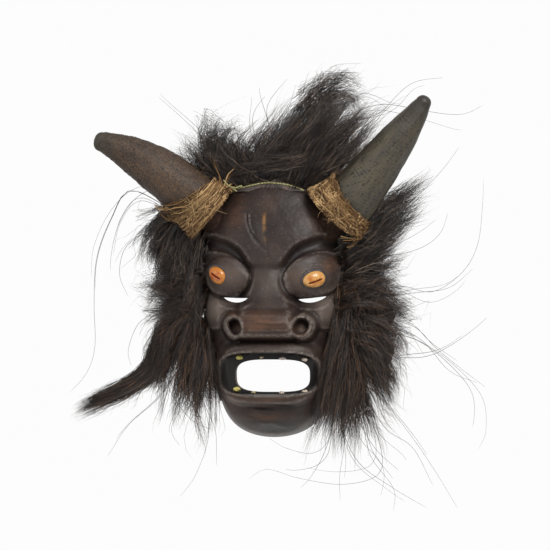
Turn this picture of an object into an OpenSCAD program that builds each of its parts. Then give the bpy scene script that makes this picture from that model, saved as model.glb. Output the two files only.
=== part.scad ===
// Horned demon mask: carved wooden face, two hollow horns bound with jute,
// shell eyes and tufts of hair on hide. All sizes are millimetres.
// +Z is the top of the head, the face looks toward -Y, the rim lies on y = 0
// and the two cord holes share one line along X through z = 0.

/* [Face] */
// half the width of the face at the cheeks
face_w = 75; // [60:1:90]
// depth of the plain dome, without nose and brows
face_d = 60; // [45:1:75]
// thickness of the carved wood
wall = 8; // [5:0.5:12]
// how far the nose stands out of the dome
nose_h = 31; // [15:1:40]
// how far the brow ridges stand out
brow_h = 9; // [3:1:15]
// how far the lips stand out
lip_h = 11; // [5:1:20]

/* [Mouth] */
// middle of the mouth across the face
mouth_x = 4; // [-6:1:8]
// middle of the mouth up the face
mouth_z = -78; // [-90:1:-70]
// width of the open mouth
mouth_w = 74; // [50:1:84]
// height of the open mouth
mouth_t = 32; // [20:1:40]

/* [Eyes] */
// viewing slit width
slit_w = 26; // [16:1:34]
// viewing slit height
slit_t = 7; // [4:0.5:10]
// shell eye length
cowrie_l = 23; // [16:0.5:28]
// shell eye width
cowrie_w = 15; // [10:0.5:20]

/* [Horns] */
// left horn radius at the base
horn_left_r = 29.5; // [22:0.5:36]
// right horn radius at the base
horn_right_r = 27; // [22:1:36]
// where the horn's open end stands, as a share of its length
base_share = 0.05; // [0:0.01:0.1]
// where the jute binding stops, as a share of the horn
wrap_share = 0.27; // [0.15:0.01:0.4]

/* [Fixings] */
// radius of each cord hole
cord_r = 2.5; // [1.5:0.25:4]
// distance of the cord holes in front of the rim
cord_y = 12; // [8:1:20]
// radius of the tie holes
tie_r = 1.5; // [1:0.25:2.5]

/* [Hidden] */
z_wide = 30;
h_up = 98;
h_low = 171;
z_mid = z_wide + (h_up - h_low) / 2;
z_half = (h_up + h_low) / 2;
z_pole = -12;
around = 72;
steps_out = 25;
steps_in = 11;
fine = 48;

// ---- shape of the face -------------------------------------------------
function clamp01(t) = min(1, max(0, t));
function ease(a, b, t) = let (s = clamp01((t - a) / (b - a))) s * s * (3 - 2 * s);
// half width of the outline at a height
function half_width(z) = z > z_wide
    ? face_w * pow(max(0, 1 - pow(clamp01((z - z_wide) / h_up), 2.6)), 0.625)
    : let (t = clamp01((z_wide - z) / h_low))
        face_w * (1 - 0.36 * pow(t, 1.2)) * pow(max(0, 1 - pow(t, 12)), 0.5);
// depth of the plain dome
function dome_y(x, z) = let (
        s = clamp01(abs(z - z_mid) / z_half),
        w = half_width(z),
        u = w < 0.001 ? 1 : clamp01(abs(x) / w)
    ) face_d * pow(1 - pow(s, 3.2), 0.3125) * pow(1 - pow(u, 2.5), 0.4);
function bump(x, z, cx, cz, sx, sz, h, p) =
    h * exp(-pow(abs((x - cx) / sx), p) - pow(abs((z - cz) / sz), p));
function nose(x, z) = bump(x, z, 0, -27, 25, 13, nose_h, 2.8)
    + bump(x, z, 0, 6, 13, 28, 9, 2.4)
    + bump(abs(x), z, 36, -29, 11, 11, 17, 2.6);
function brow_z(x) = 33 + 22 * ease(8, 46, abs(x)) - 6 * ease(46, 66, abs(x));
function brows(x, z) = brow_h * exp(-pow((z - brow_z(x)) / 8, 2)) * (1 - ease(50, 68, abs(x)))
    + bump(abs(x), z, 43, 21, 25, 17, 9, 3)
    + bump(x, z, 0, 40, 16, 13, 5, 2.5);
function lips(x, z) = let (
        e = pow(pow(abs(x - mouth_x) / 50, 3.4) + pow(abs(z - mouth_z) / 26, 3.4), 0.294)
    ) lip_h * exp(-pow((e - 1.02) / 0.27, 2));
function muzzle(x, z) = bump(x, z, mouth_x, -84, 56, 34, 13, 3.4);
function cheeks(x, z) = bump(abs(x), z, 50, -32, 15, 16, 7, 2.6)
    + bump(x, z, 2, -124, 28, 11, 14, 2.6);
function near_rim(x, z) = ease(4, 34, dome_y(x, z));
function face_y(x, z) = -dome_y(x, z)
    - near_rim(x, z) * (nose(x, z) + brows(x, z) + lips(x, z) + cheeks(x, z) + muzzle(x, z));
function back_y(x, z) = -dome_y(x, z) * (face_d - wall) / face_d
    - near_rim(x, z) * (0.75 * nose(x, z) + 0.8 * muzzle(x, z)
        + 0.3 * (brows(x, z) + lips(x, z) + cheeks(x, z)));

// outline point at an angle, and a point a share r of the way out from the nose
function rim_z(a) = z_wide + (sin(a) > 0 ? h_up : h_low) * sin(a);
function rim_x(a) = (cos(a) < 0 ? -1 : 1) * half_width(rim_z(a));
function rays(a, r) = [r * rim_x(a), z_pole + r * (rim_z(a) - z_pole)];
function shrink(p, k) = [p[0] * (face_w - k) / face_w,
    z_mid + (p[1] - z_mid) * (z_half - k) / z_half];
function outer_point(a, r) = let (p = rays(a, r)) [p[0], r == 1 ? 0 : face_y(p[0], p[1]), p[1]];
function inner_point(a, r) = let (p = rays(a, r), q = shrink(p, wall))
    [q[0], r == 1 ? 0 : back_y(p[0], p[1]), q[1]];
function grown_point(a, r, k) = let (p = rays(a, r), q = shrink(p, -k))
    [q[0], r == 1 ? 0 : -dome_y(p[0], p[1]) * (face_d + k) / face_d, q[1]];

// triangles between ring a and ring b of n points, two windings
function band(a, b, n) = [for (i = [0 : n - 1]) let (j = (i + 1) % n)
    each [[a + i, b + i, b + j], [a + i, b + j, a + j]]];
function band_flip(a, b, n) = [for (f = band(a, b, n)) [f[0], f[2], f[1]]];
function fan(a, tip, n) = [for (i = [0 : n - 1]) [a + i, tip, a + (i + 1) % n]];
function fan_flip(a, tip, n) = [for (i = [0 : n - 1]) [a + i, a + (i + 1) % n, tip]];

// the hollow face, one closed skin with a flat ring on y = 0
module face_body() {
    n = around;
    out_pts = [for (j = [0 : steps_out - 1]) for (i = [0 : n - 1])
        outer_point(360 * i / n, sin(90 * (1 - j / steps_out)))];
    in_pts = [for (j = [0 : steps_in - 1]) for (i = [0 : n - 1])
        inner_point(360 * i / n, sin(90 * (1 - j / steps_in)))];
    o_tip = steps_out * n;
    i_0 = o_tip + 1;
    i_tip = i_0 + steps_in * n;
    polyhedron(
        points = concat(out_pts, [[0, face_y(0, z_pole), z_pole]],
            in_pts, [[0, back_y(0, z_pole), shrink([0, z_pole], wall)[1]]]),
        faces = concat(
            [for (j = [0 : steps_out - 2]) each band(j * n, (j + 1) * n, n)],
            fan((steps_out - 1) * n, o_tip, n),
            [for (j = [0 : steps_in - 2]) each band_flip(i_0 + j * n, i_0 + (j + 1) * n, n)],
            fan_flip(i_0 + (steps_in - 1) * n, i_tip, n),
            band_flip(0, i_0, n)),
        convexity = 8);
}

// solid plain dome grown by k, with its back at y = back
module dome_block(k, back) {
    n = 38;
    m = 7;
    base = [for (i = [0 : n - 1]) let (p = grown_point(360 * i / n, 1, k)) [p[0], back, p[2]]];
    pts = [for (j = [0 : m - 1]) for (i = [0 : n - 1])
        grown_point(360 * i / n, sin(90 * (1 - j / m)), k)];
    tip = (m + 1) * n;
    polyhedron(
        points = concat(base, pts, [[0, -dome_y(0, z_pole) * (face_d + k) / face_d,
            shrink([0, z_pole], -k)[1]], [0, back, z_pole]]),
        faces = concat(
            [for (j = [0 : m - 1]) each band(j * n, (j + 1) * n, n)],
            fan(m * n, tip, n),
            fan_flip(0, tip + 1, n)),
        convexity = 4);
}

// a slot with round ends, run along Y from y0 to y1
module slot_y(w, t, y0, y1) {
    translate([0, y0, 0]) rotate([-90, 0, 0]) {
        for (s = [-1, 1]) translate([s * (w - t) / 2, 0, 0]) cylinder(d = t, h = y1 - y0, $fn = fine);
        translate([-(w - t) / 2, -t / 2, 0]) cube([w - t, t, y1 - y0]);
    }
}

slit_at = [[-34, -3], [42, -3]];
cowrie_at = [[-50, 22], [43.5, 17.5]];
cowrie_tilt = [30, -12];
upper_teeth_x = [-31, -9, 12, 34];
lower_teeth_x = [-33, -15, 12, 35];
band_y = -64;

module mask_shell() {
    color("#3c322e") difference() {
        face_body();
        // mouth: a flat band set back from the lips, and the hole through
        translate([mouth_x, 0, mouth_z]) slot_y(mouth_w + 18, mouth_t + 16, -120, band_y);
        translate([mouth_x, 0, mouth_z]) slot_y(mouth_w, mouth_t, -120, 0);
        for (p = slit_at) translate([p[0], 0, p[1]]) slot_y(slit_w, slit_t, -120, 0);
        // nostril pits
        for (s = [-1, 1]) translate([s * 33, -64, -31]) rotate([90, 0, 0])
            cylinder(r = 7, h = 40, $fn = fine);
        // seats of the shell eyes
        for (i = [0, 1]) eye_frame(i) cylinder(r = 12.5, h = 30, $fn = fine);
        // cord holes and tie holes
        translate([-120, -cord_y, 0]) rotate([0, 90, 0]) cylinder(r = cord_r, h = 240, $fn = fine);
        translate([-120, -cord_y, -9]) rotate([0, 90, 0]) cylinder(r = tie_r, h = 240, $fn = fine);
        teeth_pegs(upper_teeth_x, mouth_z + mouth_t / 2 + 3.6, 0);
        teeth_pegs(lower_teeth_x, mouth_z - mouth_t / 2 - 3.6, 0);
    }
}

// local frame of an eye: origin on the seat floor, +Z out of the face
module eye_frame(i) {
    p = cowrie_at[i];
    translate([p[0], face_y(p[0], p[1]) + 4, p[1]])
        rotate([90 + 8, 0, (i == 0 ? -1 : 1) * 22]) children();
}

module cowrie(i) {
    eye_frame(i) translate([0, 0, 4]) rotate([0, 0, -cowrie_tilt[i]])
        scale([cowrie_l / 2, cowrie_w / 2, 5]) sphere(r = 1, $fn = fine);
}

module cowrie_left() { color("#e08a35") cowrie(0); }
module cowrie_right() { color("#e08a35") cowrie(1); }
module putty(i) {
    difference() {
        eye_frame(i) cylinder(r = 12.5, h = 4, $fn = fine);
        cowrie(i);
    }
}
module eye_putty_left() { color("#2a2422") putty(0); }
module eye_putty_right() { color("#2a2422") putty(1); }

module teeth_pegs(xs, z, out) {
    for (x = xs) translate([x + mouth_x, band_y + 4, z]) rotate([90, 0, 0])
        cylinder(r = 2.5, h = 4 + out, $fn = 24);
}
module teeth_upper() {
    color("#b5ab5a") teeth_pegs(upper_teeth_x, mouth_z + mouth_t / 2 + 3.6, 2.5);
}
module teeth_lower() {
    color("#b5ab5a") teeth_pegs(lower_teeth_x, mouth_z - mouth_t / 2 - 3.6, 2.5);
}

// ---- horns ---------------------------------------------------------------
neck_r = 15;
left_path = [[-56, -35, 77], [-117, -50, 142], [-174, -66, 156]];
right_path = [[60, -35, 73], [112, -46, 131], [157, -66, 196]];
function along(p, s) = (1 - s) * (1 - s) * p[0] + 2 * s * (1 - s) * p[1] + s * s * p[2];
function unit(v) = v / norm(v);
function heading(p, s) = unit(2 * (1 - s) * (p[1] - p[0]) + 2 * s * (p[2] - p[1]));
function taper(side, s) = side < 0
    ? horn_left_r * (1 - 0.78 * pow(max(0, s), 1.8))
    : horn_right_r * (1 - 0.72 * pow(max(0, s), 1.9));
function ring_at(p, s, r, n) = let (
        t = heading(p, s), u = unit(cross(t, [0, 1, 0])), v = cross(t, u)
    ) [for (i = [0 : n - 1]) along(p, s) + r * (cos(360 * i / n) * u + sin(360 * i / n) * v)];

// closed solid swept along a path through rings at shares ss with radii rs
module swept(p, ss, rs, n) {
    m = len(ss);
    polyhedron(
        points = concat([for (k = [0 : m - 1]) each ring_at(p, ss[k], rs[k], n)],
            [along(p, ss[0]), along(p, ss[m - 1])]),
        faces = concat(
            [for (k = [0 : m - 2]) each band(k * n, (k + 1) * n, n)],
            fan_flip(0, m * n, n),
            fan((m - 1) * n, m * n + 1, n)),
        convexity = 4);
}
function path_of(side) = side < 0 ? left_path : right_path;
module horn_solid(side, grow, s0, s1, steps) {
    ss = [for (k = [0 : steps]) s0 + (s1 - s0) * k / steps];
    swept(path_of(side), ss, [for (s = ss) taper(side, s) + grow], 20);
}
module horn_body(side) {
    body = [for (k = [0 : 12]) base_share + (0.94 - base_share) * k / 12];
    tip = [0.965, 0.985, 1];
    swept(path_of(side), concat(body, tip),
        concat([for (s = body) taper(side, s)], [for (k = [0 : 2])
            taper(side, 1) * [0.93, 0.72, 0.3][k]]), 20);
}
// straight round bar between two shares of a horn's path
module bar(side, s0, s1, r0, r1) {
    a = along(path_of(side), s0);
    d = along(path_of(side), s1) - a;
    translate(a) rotate([0, acos(d[2] / norm(d)), atan2(d[1], d[0])])
        cylinder(r1 = r0, r2 = r1, h = norm(d), $fn = fine);
}
// tapered plug that fills the hollow of the horn
module core(side, grow) {
    bar(side, base_share, 0.42, taper(side, 0) - 7 + grow, taper(side, 0.42) - 8 + grow);
}
module behind_rim() {
    translate([-300, -0.5, -300]) cube([600, 60, 600]);
}
module horn(side) {
    difference() {
        horn_body(side);
        core(side, 0.2);
        dome_block(0.8, 20);
    }
}
module horn_left() { color("#4d4035") horn(-1); }
module horn_right() { color("#45413a") horn(1); }
module plug(side) {
    difference() {
        union() {
            core(side, 0);
            bar(side, -0.1, base_share + 0.05, neck_r, neck_r);
        }
        dome_block(0.8, 20);
    }
}
module horn_core_left() { color("#6b5238") plug(-1); }
module horn_core_right() { color("#6b5238") plug(1); }
module jute_wrap(side) {
    difference() {
        horn_solid(side, 4.5, base_share - 0.01, wrap_share, 3);
        horn_solid(side, 0.5, -0.2, wrap_share + 0.1, 4);
        dome_block(0.8, 20);
        behind_rim();
    }
}
module jute_wrap_left() { color("#a07840") jute_wrap(-1); }
module jute_wrap_right() { color("#a07840") jute_wrap(1); }

// ---- hide and hair ---------------------------------------------------------
// a strip of hide that hugs the dome inside a box
module hide(lo, hi) {
    intersection() {
        difference() {
            dome_block(3.0, -1);
            dome_block(0.9, 5);
        }
        translate(lo) cube(hi - lo);
    }
}
module tuft(pts) {
    hull() for (p = pts) translate([p[0], p[1], p[2]]) sphere(r = p[3], $fn = 10);
}
module clear_of(side) {
    difference() {
        children();
        dome_block(3.4, 20);
        horn_solid(side, 5.2, -0.2, wrap_share + 0.03, 3);
        horn_solid(side, 0.8, wrap_share, 1.05, 4);
        behind_rim();
    }
}
module crown_pelt() { color("#3a2a20") hide([-34, -46, 105], [38, -2, 140]); }
module crown_hair() {
    color("#1e1716") clear_of(1) {
        tuft([[-38, -24, 126, 14], [32, -24, 128, 14], [-34, -26, 160, 22],
            [40, -28, 184, 30], [86, -26, 208, 13], [-76, -16, 160, 10]]);
        tuft([[10, -24, 190, 16], [-6, -18, 250, 2]]);
    }
}
module pelt_left_upper() { color("#3a2a20") hide([-90, -30, 8], [-40, -2, 62]); }
module hair_left_upper() {
    color("#1e1716") clear_of(-1) tuft([[-76, -21, 21, 13], [-72, -21, 54, 14],
        [-112, -17, 66, 14], [-120, -16, 22, 12], [-124, -15, 92, 8]]);
}
module pelt_left_lower() { color("#3a2a20") hide([-90, -30, -104], [-40, -2, -13]); }
module hair_left_lower() {
    color("#1e1716") clear_of(-1) tuft([[-74, -22, -23, 14], [-118, -17, -18, 12],
        [-121, -16, -62, 10], [-70, -22, -70, 17], [-62, -19, -100, 15]]);
}
module tail_lock_left() {
    color("#1e1716") difference() {
        tuft([[-116, -16, -84, 11], [-160, -14, -99, 9], [-202, -9, -114, 3]]);
        hull() for (p = [[-74, -22, -23, 14.6], [-118, -17, -18, 12.6],
            [-121, -16, -62, 10.6], [-70, -22, -70, 17.6], [-62, -19, -100, 15.6]]) translate([p[0], p[1], p[2]]) sphere(r = p[3], $fn = 10);
    }
}
module pelt_right_upper() { color("#3a2a20") hide([40, -30, 8], [90, -2, 62]); }
module hair_right_upper() {
    color("#1e1716") clear_of(1) tuft([[76, -21, 21, 13], [74, -21, 54, 14],
        [118, -16, 26, 12], [124, -15, 92, 11], [140, -12, 114, 5]]);
}
module pelt_right_lower() { color("#3a2a20") hide([40, -30, -116], [90, -2, -13]); }
module hair_right_clump() {
    color("#1e1716") clear_of(1) {
        tuft([[78, -24, -24, 16], [114, -22, -20, 14], [120, -20, -54, 15], [76, -24, -62, 16]]);
        tuft([[122, -14, -50, 8], [196, -6, -92, 2]]);
    }
}
module hair_right_lower() {
    color("#1e1716") clear_of(1) difference() {
        union() {
            tuft([[64, -20, -88, 16], [108, -16, -88, 14], [52, -15, -126, 12], [98, -12, -138, 9],
                [42, -12, -148, 6]]);
            tuft([[100, -12, -130, 8], [128, -6, -196, 2]]);
        }
        hull() for (p = [[78, -24, -24, 16.6], [114, -22, -20, 14.6], [120, -20, -54, 15.6],
            [76, -24, -62, 16.6]]) translate([p[0], p[1], p[2]]) sphere(r = p[3], $fn = 10);
    }
}

// ---- twine and ties --------------------------------------------------------
// points on the forehead, each [x, z]
twine_path = [[-42, 108], [-34, 111], [-25, 113], [-15, 114], [-5, 115], [6, 115], [16, 115],
    [25, 114], [34, 112], [42, 109]];
function on_dome(p, k) = [p[0], -dome_y(p[0], p[1]) * (face_d + k) / face_d - k * 0.6, p[1] + k * 0.8];
module cord_run(pts, r) {
    n = 8;
    m = len(pts);
    function dir(k) = unit(pts[min(m - 1, k + 1)] - pts[max(0, k - 1)]);
    polyhedron(
        points = concat([for (k = [0 : m - 1]) let (t = dir(k), u = unit(cross(t, [0, 1, 0.3])),
                v = cross(t, u)) each [for (i = [0 : n - 1])
                    pts[k] + r * (cos(360 * i / n) * u + sin(360 * i / n) * v)]],
            [pts[0], pts[m - 1]]),
        faces = concat(
            [for (k = [0 : m - 2]) each band(k * n, (k + 1) * n, n)],
            fan_flip(0, m * n, n),
            fan((m - 1) * n, m * n + 1, n)),
        convexity = 4);
}
module brow_twine() {
    color("#b7a46a") cord_run([for (p = twine_path) on_dome(p, 4.6)], 1);
}
// a knot outside the wall, its cord through the tie hole and a knot inside
module tie(side) {
    x1 = half_width(-9);
    translate([0, -cord_y, -9]) rotate([0, side * 90, 0]) {
        translate([0, 0, x1 - 11]) cylinder(r = tie_r - 0.2, h = 13, $fn = 24);
        translate([0, 0, x1 + 2.8]) sphere(r = 2.8, $fn = 24);
        translate([0, 0, x1 - 11.2]) sphere(r = 2.4, $fn = 24);
    }
}
module tie_left() { color("#b7a46a") tie(-1); }
module tie_right() { color("#b7a46a") tie(1); }

mask_shell();
horn_left();
horn_right();
horn_core_left();
horn_core_right();
jute_wrap_left();
jute_wrap_right();
brow_twine();
crown_pelt();
crown_hair();
pelt_left_upper();
hair_left_upper();
pelt_left_lower();
hair_left_lower();
tail_lock_left();
pelt_right_upper();
hair_right_upper();
pelt_right_lower();
hair_right_clump();
hair_right_lower();
tie_left();
tie_right();
cowrie_left();
cowrie_right();
eye_putty_left();
eye_putty_right();
teeth_upper();
teeth_lower();
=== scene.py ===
# %% [markdown]
# # A horned demon mask
# The real object is a hollow face carved from one block of softwood, lacquered dark brown, with two real
# horns bound on with jute, cowrie shells for eyes and tufts of coarse hair still on their hide.
# The CAD frame gives every place and size. Lengths below are millimetres and become metres at the end.

import math

import bmesh
import bpy
import numpy as np
from mathutils import Matrix, Vector


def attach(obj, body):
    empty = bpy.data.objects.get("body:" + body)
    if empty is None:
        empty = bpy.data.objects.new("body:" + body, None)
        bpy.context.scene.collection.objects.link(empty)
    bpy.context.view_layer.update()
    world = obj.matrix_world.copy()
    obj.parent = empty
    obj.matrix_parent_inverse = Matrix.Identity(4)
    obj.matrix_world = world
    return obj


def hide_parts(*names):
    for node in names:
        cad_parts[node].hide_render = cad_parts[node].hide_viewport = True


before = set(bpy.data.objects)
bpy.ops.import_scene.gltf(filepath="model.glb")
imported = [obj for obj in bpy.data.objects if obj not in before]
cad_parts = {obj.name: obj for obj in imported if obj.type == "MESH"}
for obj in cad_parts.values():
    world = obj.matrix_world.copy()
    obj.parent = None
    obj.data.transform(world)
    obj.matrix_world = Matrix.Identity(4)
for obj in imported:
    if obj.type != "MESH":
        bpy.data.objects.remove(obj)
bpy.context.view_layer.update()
MM = 0.001

# %% [markdown]
# ## Small tools
# Everything is deselected before an operator runs, because an operator acts on all that is selected.
# Random numbers come from seeded generators, so every run makes the same hair.

# %% Tools for meshes
def rng(seed):
    return np.random.default_rng(seed)


def deselect():
    if bpy.context.object and bpy.context.object.mode != "OBJECT":
        bpy.ops.object.mode_set(mode="OBJECT")
    bpy.ops.object.select_all(action="DESELECT")


def pick(obj):
    deselect()
    obj.select_set(True)
    bpy.context.view_layer.objects.active = obj


def coords(obj):
    flat = np.empty(len(obj.data.vertices) * 3)
    obj.data.vertices.foreach_get("co", flat)
    return flat.reshape(-1, 3)


def set_coords(obj, points):
    obj.data.vertices.foreach_set("co", np.asarray(points, float).ravel())
    obj.data.update()


def smooth(obj, angle=None):
    pick(obj)
    if angle is None:
        bpy.ops.object.shade_smooth()
    else:
        bpy.ops.object.shade_smooth_by_angle(angle=math.radians(angle))


def mesh_piece(name, verts_mm, faces, material, ride="root"):
    mesh = bpy.data.meshes.new(name)
    mesh.from_pydata([tuple(v) for v in np.asarray(verts_mm) * MM], [], faces)
    obj = bpy.data.objects.new(name, mesh)
    bpy.context.collection.objects.link(obj)
    mesh.materials.append(material)
    return obj


def ease(a, b, t):
    s = np.clip((np.asarray(t, float) - a) / (b - a), 0, 1)
    return s * s * (3 - 2 * s)


# %% [markdown]
# ## Materials
# One function turns an sRGB hex colour to linear, and one adds a node with its settings and links.

# %% Tools for materials
def colour(hex_code, alpha=1.0):
    channels = [int(hex_code[i : i + 2], 16) / 255 for i in (1, 3, 5)]
    return tuple(c / 12.92 if c <= 0.04045 else ((c + 0.055) / 1.055) ** 2.4 for c in channels) + (alpha,)


def material(name, **settings):
    made = bpy.data.materials.new(name)
    made.use_nodes = True
    shader = made.node_tree.nodes["Principled BSDF"]
    for socket, value in settings.items():
        shader.inputs[socket.replace("_", " ")].default_value = value
    return made, shader


def node(mat, kind, links=None, **settings):
    """Adds a node. links is {input: (node, output)}; settings are sockets by name, or properties in lower case."""
    new = mat.node_tree.nodes.new("ShaderNode" + kind)
    for key, value in settings.items():
        if key.islower():
            setattr(new, key, value)
        else:
            new.inputs[key.replace("_", " ")].default_value = value
    for socket, (source, output) in (links or {}).items():
        mat.node_tree.links.new(source.outputs[output], new.inputs[socket])
    return new


def join(mat, source, output, target, socket):
    mat.node_tree.links.new(source.outputs[output], target.inputs[socket])


def ramp(mat, source, output, stops):
    new = node(mat, "ValToRGB", {"Fac": (source, output)})
    band = new.color_ramp
    while len(band.elements) < len(stops):
        band.elements.new(0.5)
    for element, (place, tone) in zip(band.elements, stops):
        element.position = place
        element.color = tone if isinstance(tone, tuple) else (tone, tone, tone, 1)
    return new


def mix(mat, factor, a, b, mode="MIX", amount=0.5):
    """factor, a and b are (node, output) or a plain value."""
    new = node(mat, "Mix", data_type="RGBA", blend_type=mode)
    for socket, value in ((0, factor), (6, a), (7, b)):
        if isinstance(value, tuple) and hasattr(value[0], "outputs"):
            mat.node_tree.links.new(value[0].outputs[value[1]], new.inputs[socket])
        else:
            new.inputs[socket].default_value = value
    return (new, 2)


# %% [markdown]
# ## Camera, light and floor
# The mask is seen straight on, from a little to one side, by a long lens. The light is soft and comes from
# the upper right, with a pale fill all round, as in a bright studio.

# %% Camera
CAMERA_TURN = 6.0
CAMERA_TILT = -1.0
CAMERA_AWAY = 2600.0
FRAME_WIDE = 550.0
AIM = (3.0, -30.0, 22.0)


def make_camera():
    lens_data = bpy.data.cameras.new("camera")
    lens_data.lens = 36 * CAMERA_AWAY / FRAME_WIDE
    lens_data.sensor_width = 36
    camera = bpy.data.objects.new("camera", lens_data)
    bpy.context.collection.objects.link(camera)
    turn, tilt = math.radians(CAMERA_TURN), math.radians(CAMERA_TILT)
    toward = Vector((math.sin(turn) * math.cos(tilt), -math.cos(turn) * math.cos(tilt), math.sin(tilt)))
    aim = Vector(AIM)
    camera.location = (aim + toward * CAMERA_AWAY) * MM
    camera.rotation_euler = (-toward).to_track_quat("-Z", "Y").to_euler()
    lens_data.clip_start = 0.1
    lens_data.clip_end = 20
    bpy.context.scene.camera = camera
    return camera


make_camera()
print("camera", [round(c, 3) for c in bpy.context.scene.camera.location])

# %% Light and floor
def area_light(name, place_mm, size_mm, watts, tint=(1, 1, 1)):
    data = bpy.data.lights.new(name, "AREA")
    data.shape = "DISK"
    data.size = size_mm * MM
    data.energy = watts
    data.color = tint
    lamp = bpy.data.objects.new(name, data)
    bpy.context.collection.objects.link(lamp)
    lamp.location = Vector(place_mm) * MM
    lamp.rotation_euler = (Vector(AIM) * MM - lamp.location).to_track_quat("-Z", "Y").to_euler()


def make_world(strength):
    world = bpy.data.worlds.new("pale studio")
    world.use_nodes = True
    back = world.node_tree.nodes["Background"]
    back.inputs["Color"].default_value = (1.0, 1.0, 1.0, 1)
    back.inputs["Strength"].default_value = strength
    bpy.context.scene.world = world


def make_floor():
    mat, shader = material("pale paper floor", Base_Color=colour("#f4f4f3"), Roughness=0.9)
    grain = node(mat, "TexNoise", Scale=900.0, Detail=3.0)
    bump = node(mat, "Bump", {"Height": (grain, "Fac")}, Strength=0.05, Distance=0.0002)
    join(mat, bump, "Normal", shader, "Normal")
    deselect()
    bpy.ops.mesh.primitive_circle_add(vertices=96, radius=0.5, fill_type="NGON", location=(0, 0, -0.36))
    floor = bpy.context.object
    floor.name = "floor"
    floor.data.materials.append(mat)


bpy.context.scene.view_settings.view_transform = "Standard"
area_light("key", (700, -1100, 900), 700, 26)
area_light("fill", (-900, -1200, 200), 1000, 5)
make_world(0.98)
make_floor()

# %% [markdown]
# ## The shape of the face
# The plain dome is the one in the CAD. The carving is a relief in millimetres over it: each part is a named
# function of the place across (x) and up (z), positive toward the viewer. Crisp lines, such as the
# brow's lower edge, are worked out from the distance to a line of a few points.

# %% Dome
FACE_W, FACE_D, WALL = 75.0, 60.0, 8.0
Z_WIDE, H_UP, H_LOW = 30.0, 98.0, 171.0
Z_MID, Z_HALF = Z_WIDE + (H_UP - H_LOW) / 2, (H_UP + H_LOW) / 2


def half_width(z):
    z = np.asarray(z, float)
    up = np.clip((z - Z_WIDE) / H_UP, 0, 1)
    low = np.clip((Z_WIDE - z) / H_LOW, 0, 1)
    above = np.maximum(1 - up**2.6, 0) ** 0.625
    below = (1 - 0.36 * low**1.2) * np.maximum(1 - low**12, 0) ** 0.5
    return FACE_W * np.where(z > Z_WIDE, above, below)


def dome(x, z):
    s = np.clip(np.abs((z - Z_MID) / Z_HALF), 0, 1)
    wide = half_width(z)
    u = np.where(wide < 0.001, 1, np.clip(np.abs(x) / np.maximum(wide, 0.001), 0, 1))
    return FACE_D * (1 - s**3.2) ** 0.3125 * (1 - u**2.5) ** 0.4


# %% Lines and bumps
def to_line(x, z, points):
    """Distance from each place to a line through points, and how far along it the nearest place is, 0 to 1."""
    points = np.asarray(points, float)
    runs = np.linalg.norm(np.diff(points, axis=0), axis=1)
    total, start = runs.sum(), 0.0
    near, along = np.full(np.shape(x), 1e9), np.zeros(np.shape(x))
    for (x0, z0), (x1, z1), run in zip(points[:-1], points[1:], runs):
        t = np.clip(((x - x0) * (x1 - x0) + (z - z0) * (z1 - z0)) / run**2, 0, 1)
        d = np.hypot(x - x0 - t * (x1 - x0), z - z0 - t * (z1 - z0))
        along = np.where(d < near, (start + t * run) / total, along)
        near = np.minimum(d, near)
        start += run
    return near, along


def curve(points, per_step=6):
    """A smooth line through a few points."""
    p = np.asarray(points, float)
    p = np.vstack([2 * p[0] - p[1], p, 2 * p[-1] - p[-2]])
    out = []
    for i in range(1, len(p) - 2):
        for t in np.arange(per_step) / per_step:
            a, b, c, d = p[i - 1 : i + 3]
            out.append(0.5 * (2 * b + (c - a) * t + (2 * a - 5 * b + 4 * c - d) * t**2 + (3 * b - a - 3 * c + d) * t**3))
    out.append(p[-2])
    return np.array(out)


def ridge(x, z, points, high, wide, ends=0.12):
    """A rounded ridge, or a groove if high is negative, that fades at its ends."""
    d, along = to_line(x, z, curve(points))
    fade = ease(0, ends, along) * ease(0, ends, 1 - along) if ends else 1
    return high * np.exp(-((d / wide) ** 2)) * fade


def bump(x, z, cx, cz, sx, sz, high, power=2.0, turn=0.0):
    c, s = math.cos(math.radians(turn)), math.sin(math.radians(turn))
    u, v = (x - cx) * c + (z - cz) * s, -(x - cx) * s + (z - cz) * c
    return high * np.exp(-np.abs(u / sx) ** power - np.abs(v / sz) ** power)


def oval(x, z, cx, cz, rx, rz, power=2.0, turn=0.0):
    """1 on the oval's edge, less inside."""
    c, s = math.cos(math.radians(turn)), math.sin(math.radians(turn))
    u, v = (x - cx) * c + (z - cz) * s, -(x - cx) * s + (z - cz) * c
    return (np.abs(u / rx) ** power + np.abs(v / rz) ** power) ** (1 / power)


def noise(points, size, seed, octaves=3):
    """Soft noise from about -1 to 1 at (x, y, z) places, made of turned waves of a size in millimetres."""
    r = rng(seed)
    points = np.asarray(points, float)
    total, weight = np.zeros(points.shape[:-1]), 0.0
    for octave in range(octaves):
        for _ in range(6):
            way = r.normal(size=3)
            way *= 2 * np.pi / (size / 2**octave) * r.uniform(0.6, 1.2) / np.linalg.norm(way)
            total += 0.5**octave * np.sin(points @ way + r.uniform(0, 2 * np.pi))
        weight += 0.5**octave * 2.4
    return total / weight


def on_face(x, z):
    return np.stack([x, np.zeros(np.shape(x)), z], -1)


# %% Brows, lids and eye mounds
# half a brow and half an upper lid, measured from the middle of the brows, which is left of centre
BROW_X, LID_X = -3.5, -2.0
BROW = [(0, 31.5), (8, 31.5), (13, 32.5), (17, 35.5), (20.5, 40.5), (25.5, 47), (33, 52.5), (43, 57), (54, 60), (68, 58.5), (80, 55)]
LID = [(15, 14), (17.5, 22), (22, 29), (28, 35.5), (37, 41.5), (47, 44.5), (58, 45.3), (71, 42)]
MOUNDS = [(-43, 20.0, 23.5, 20.0, -12), (42.5, 20.0, 28.5, 21.5, 16)]
SLITS = [(-33.5, -4.0), (42.0, -4.0)]
SLIT_WIDE = 27.0


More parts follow.
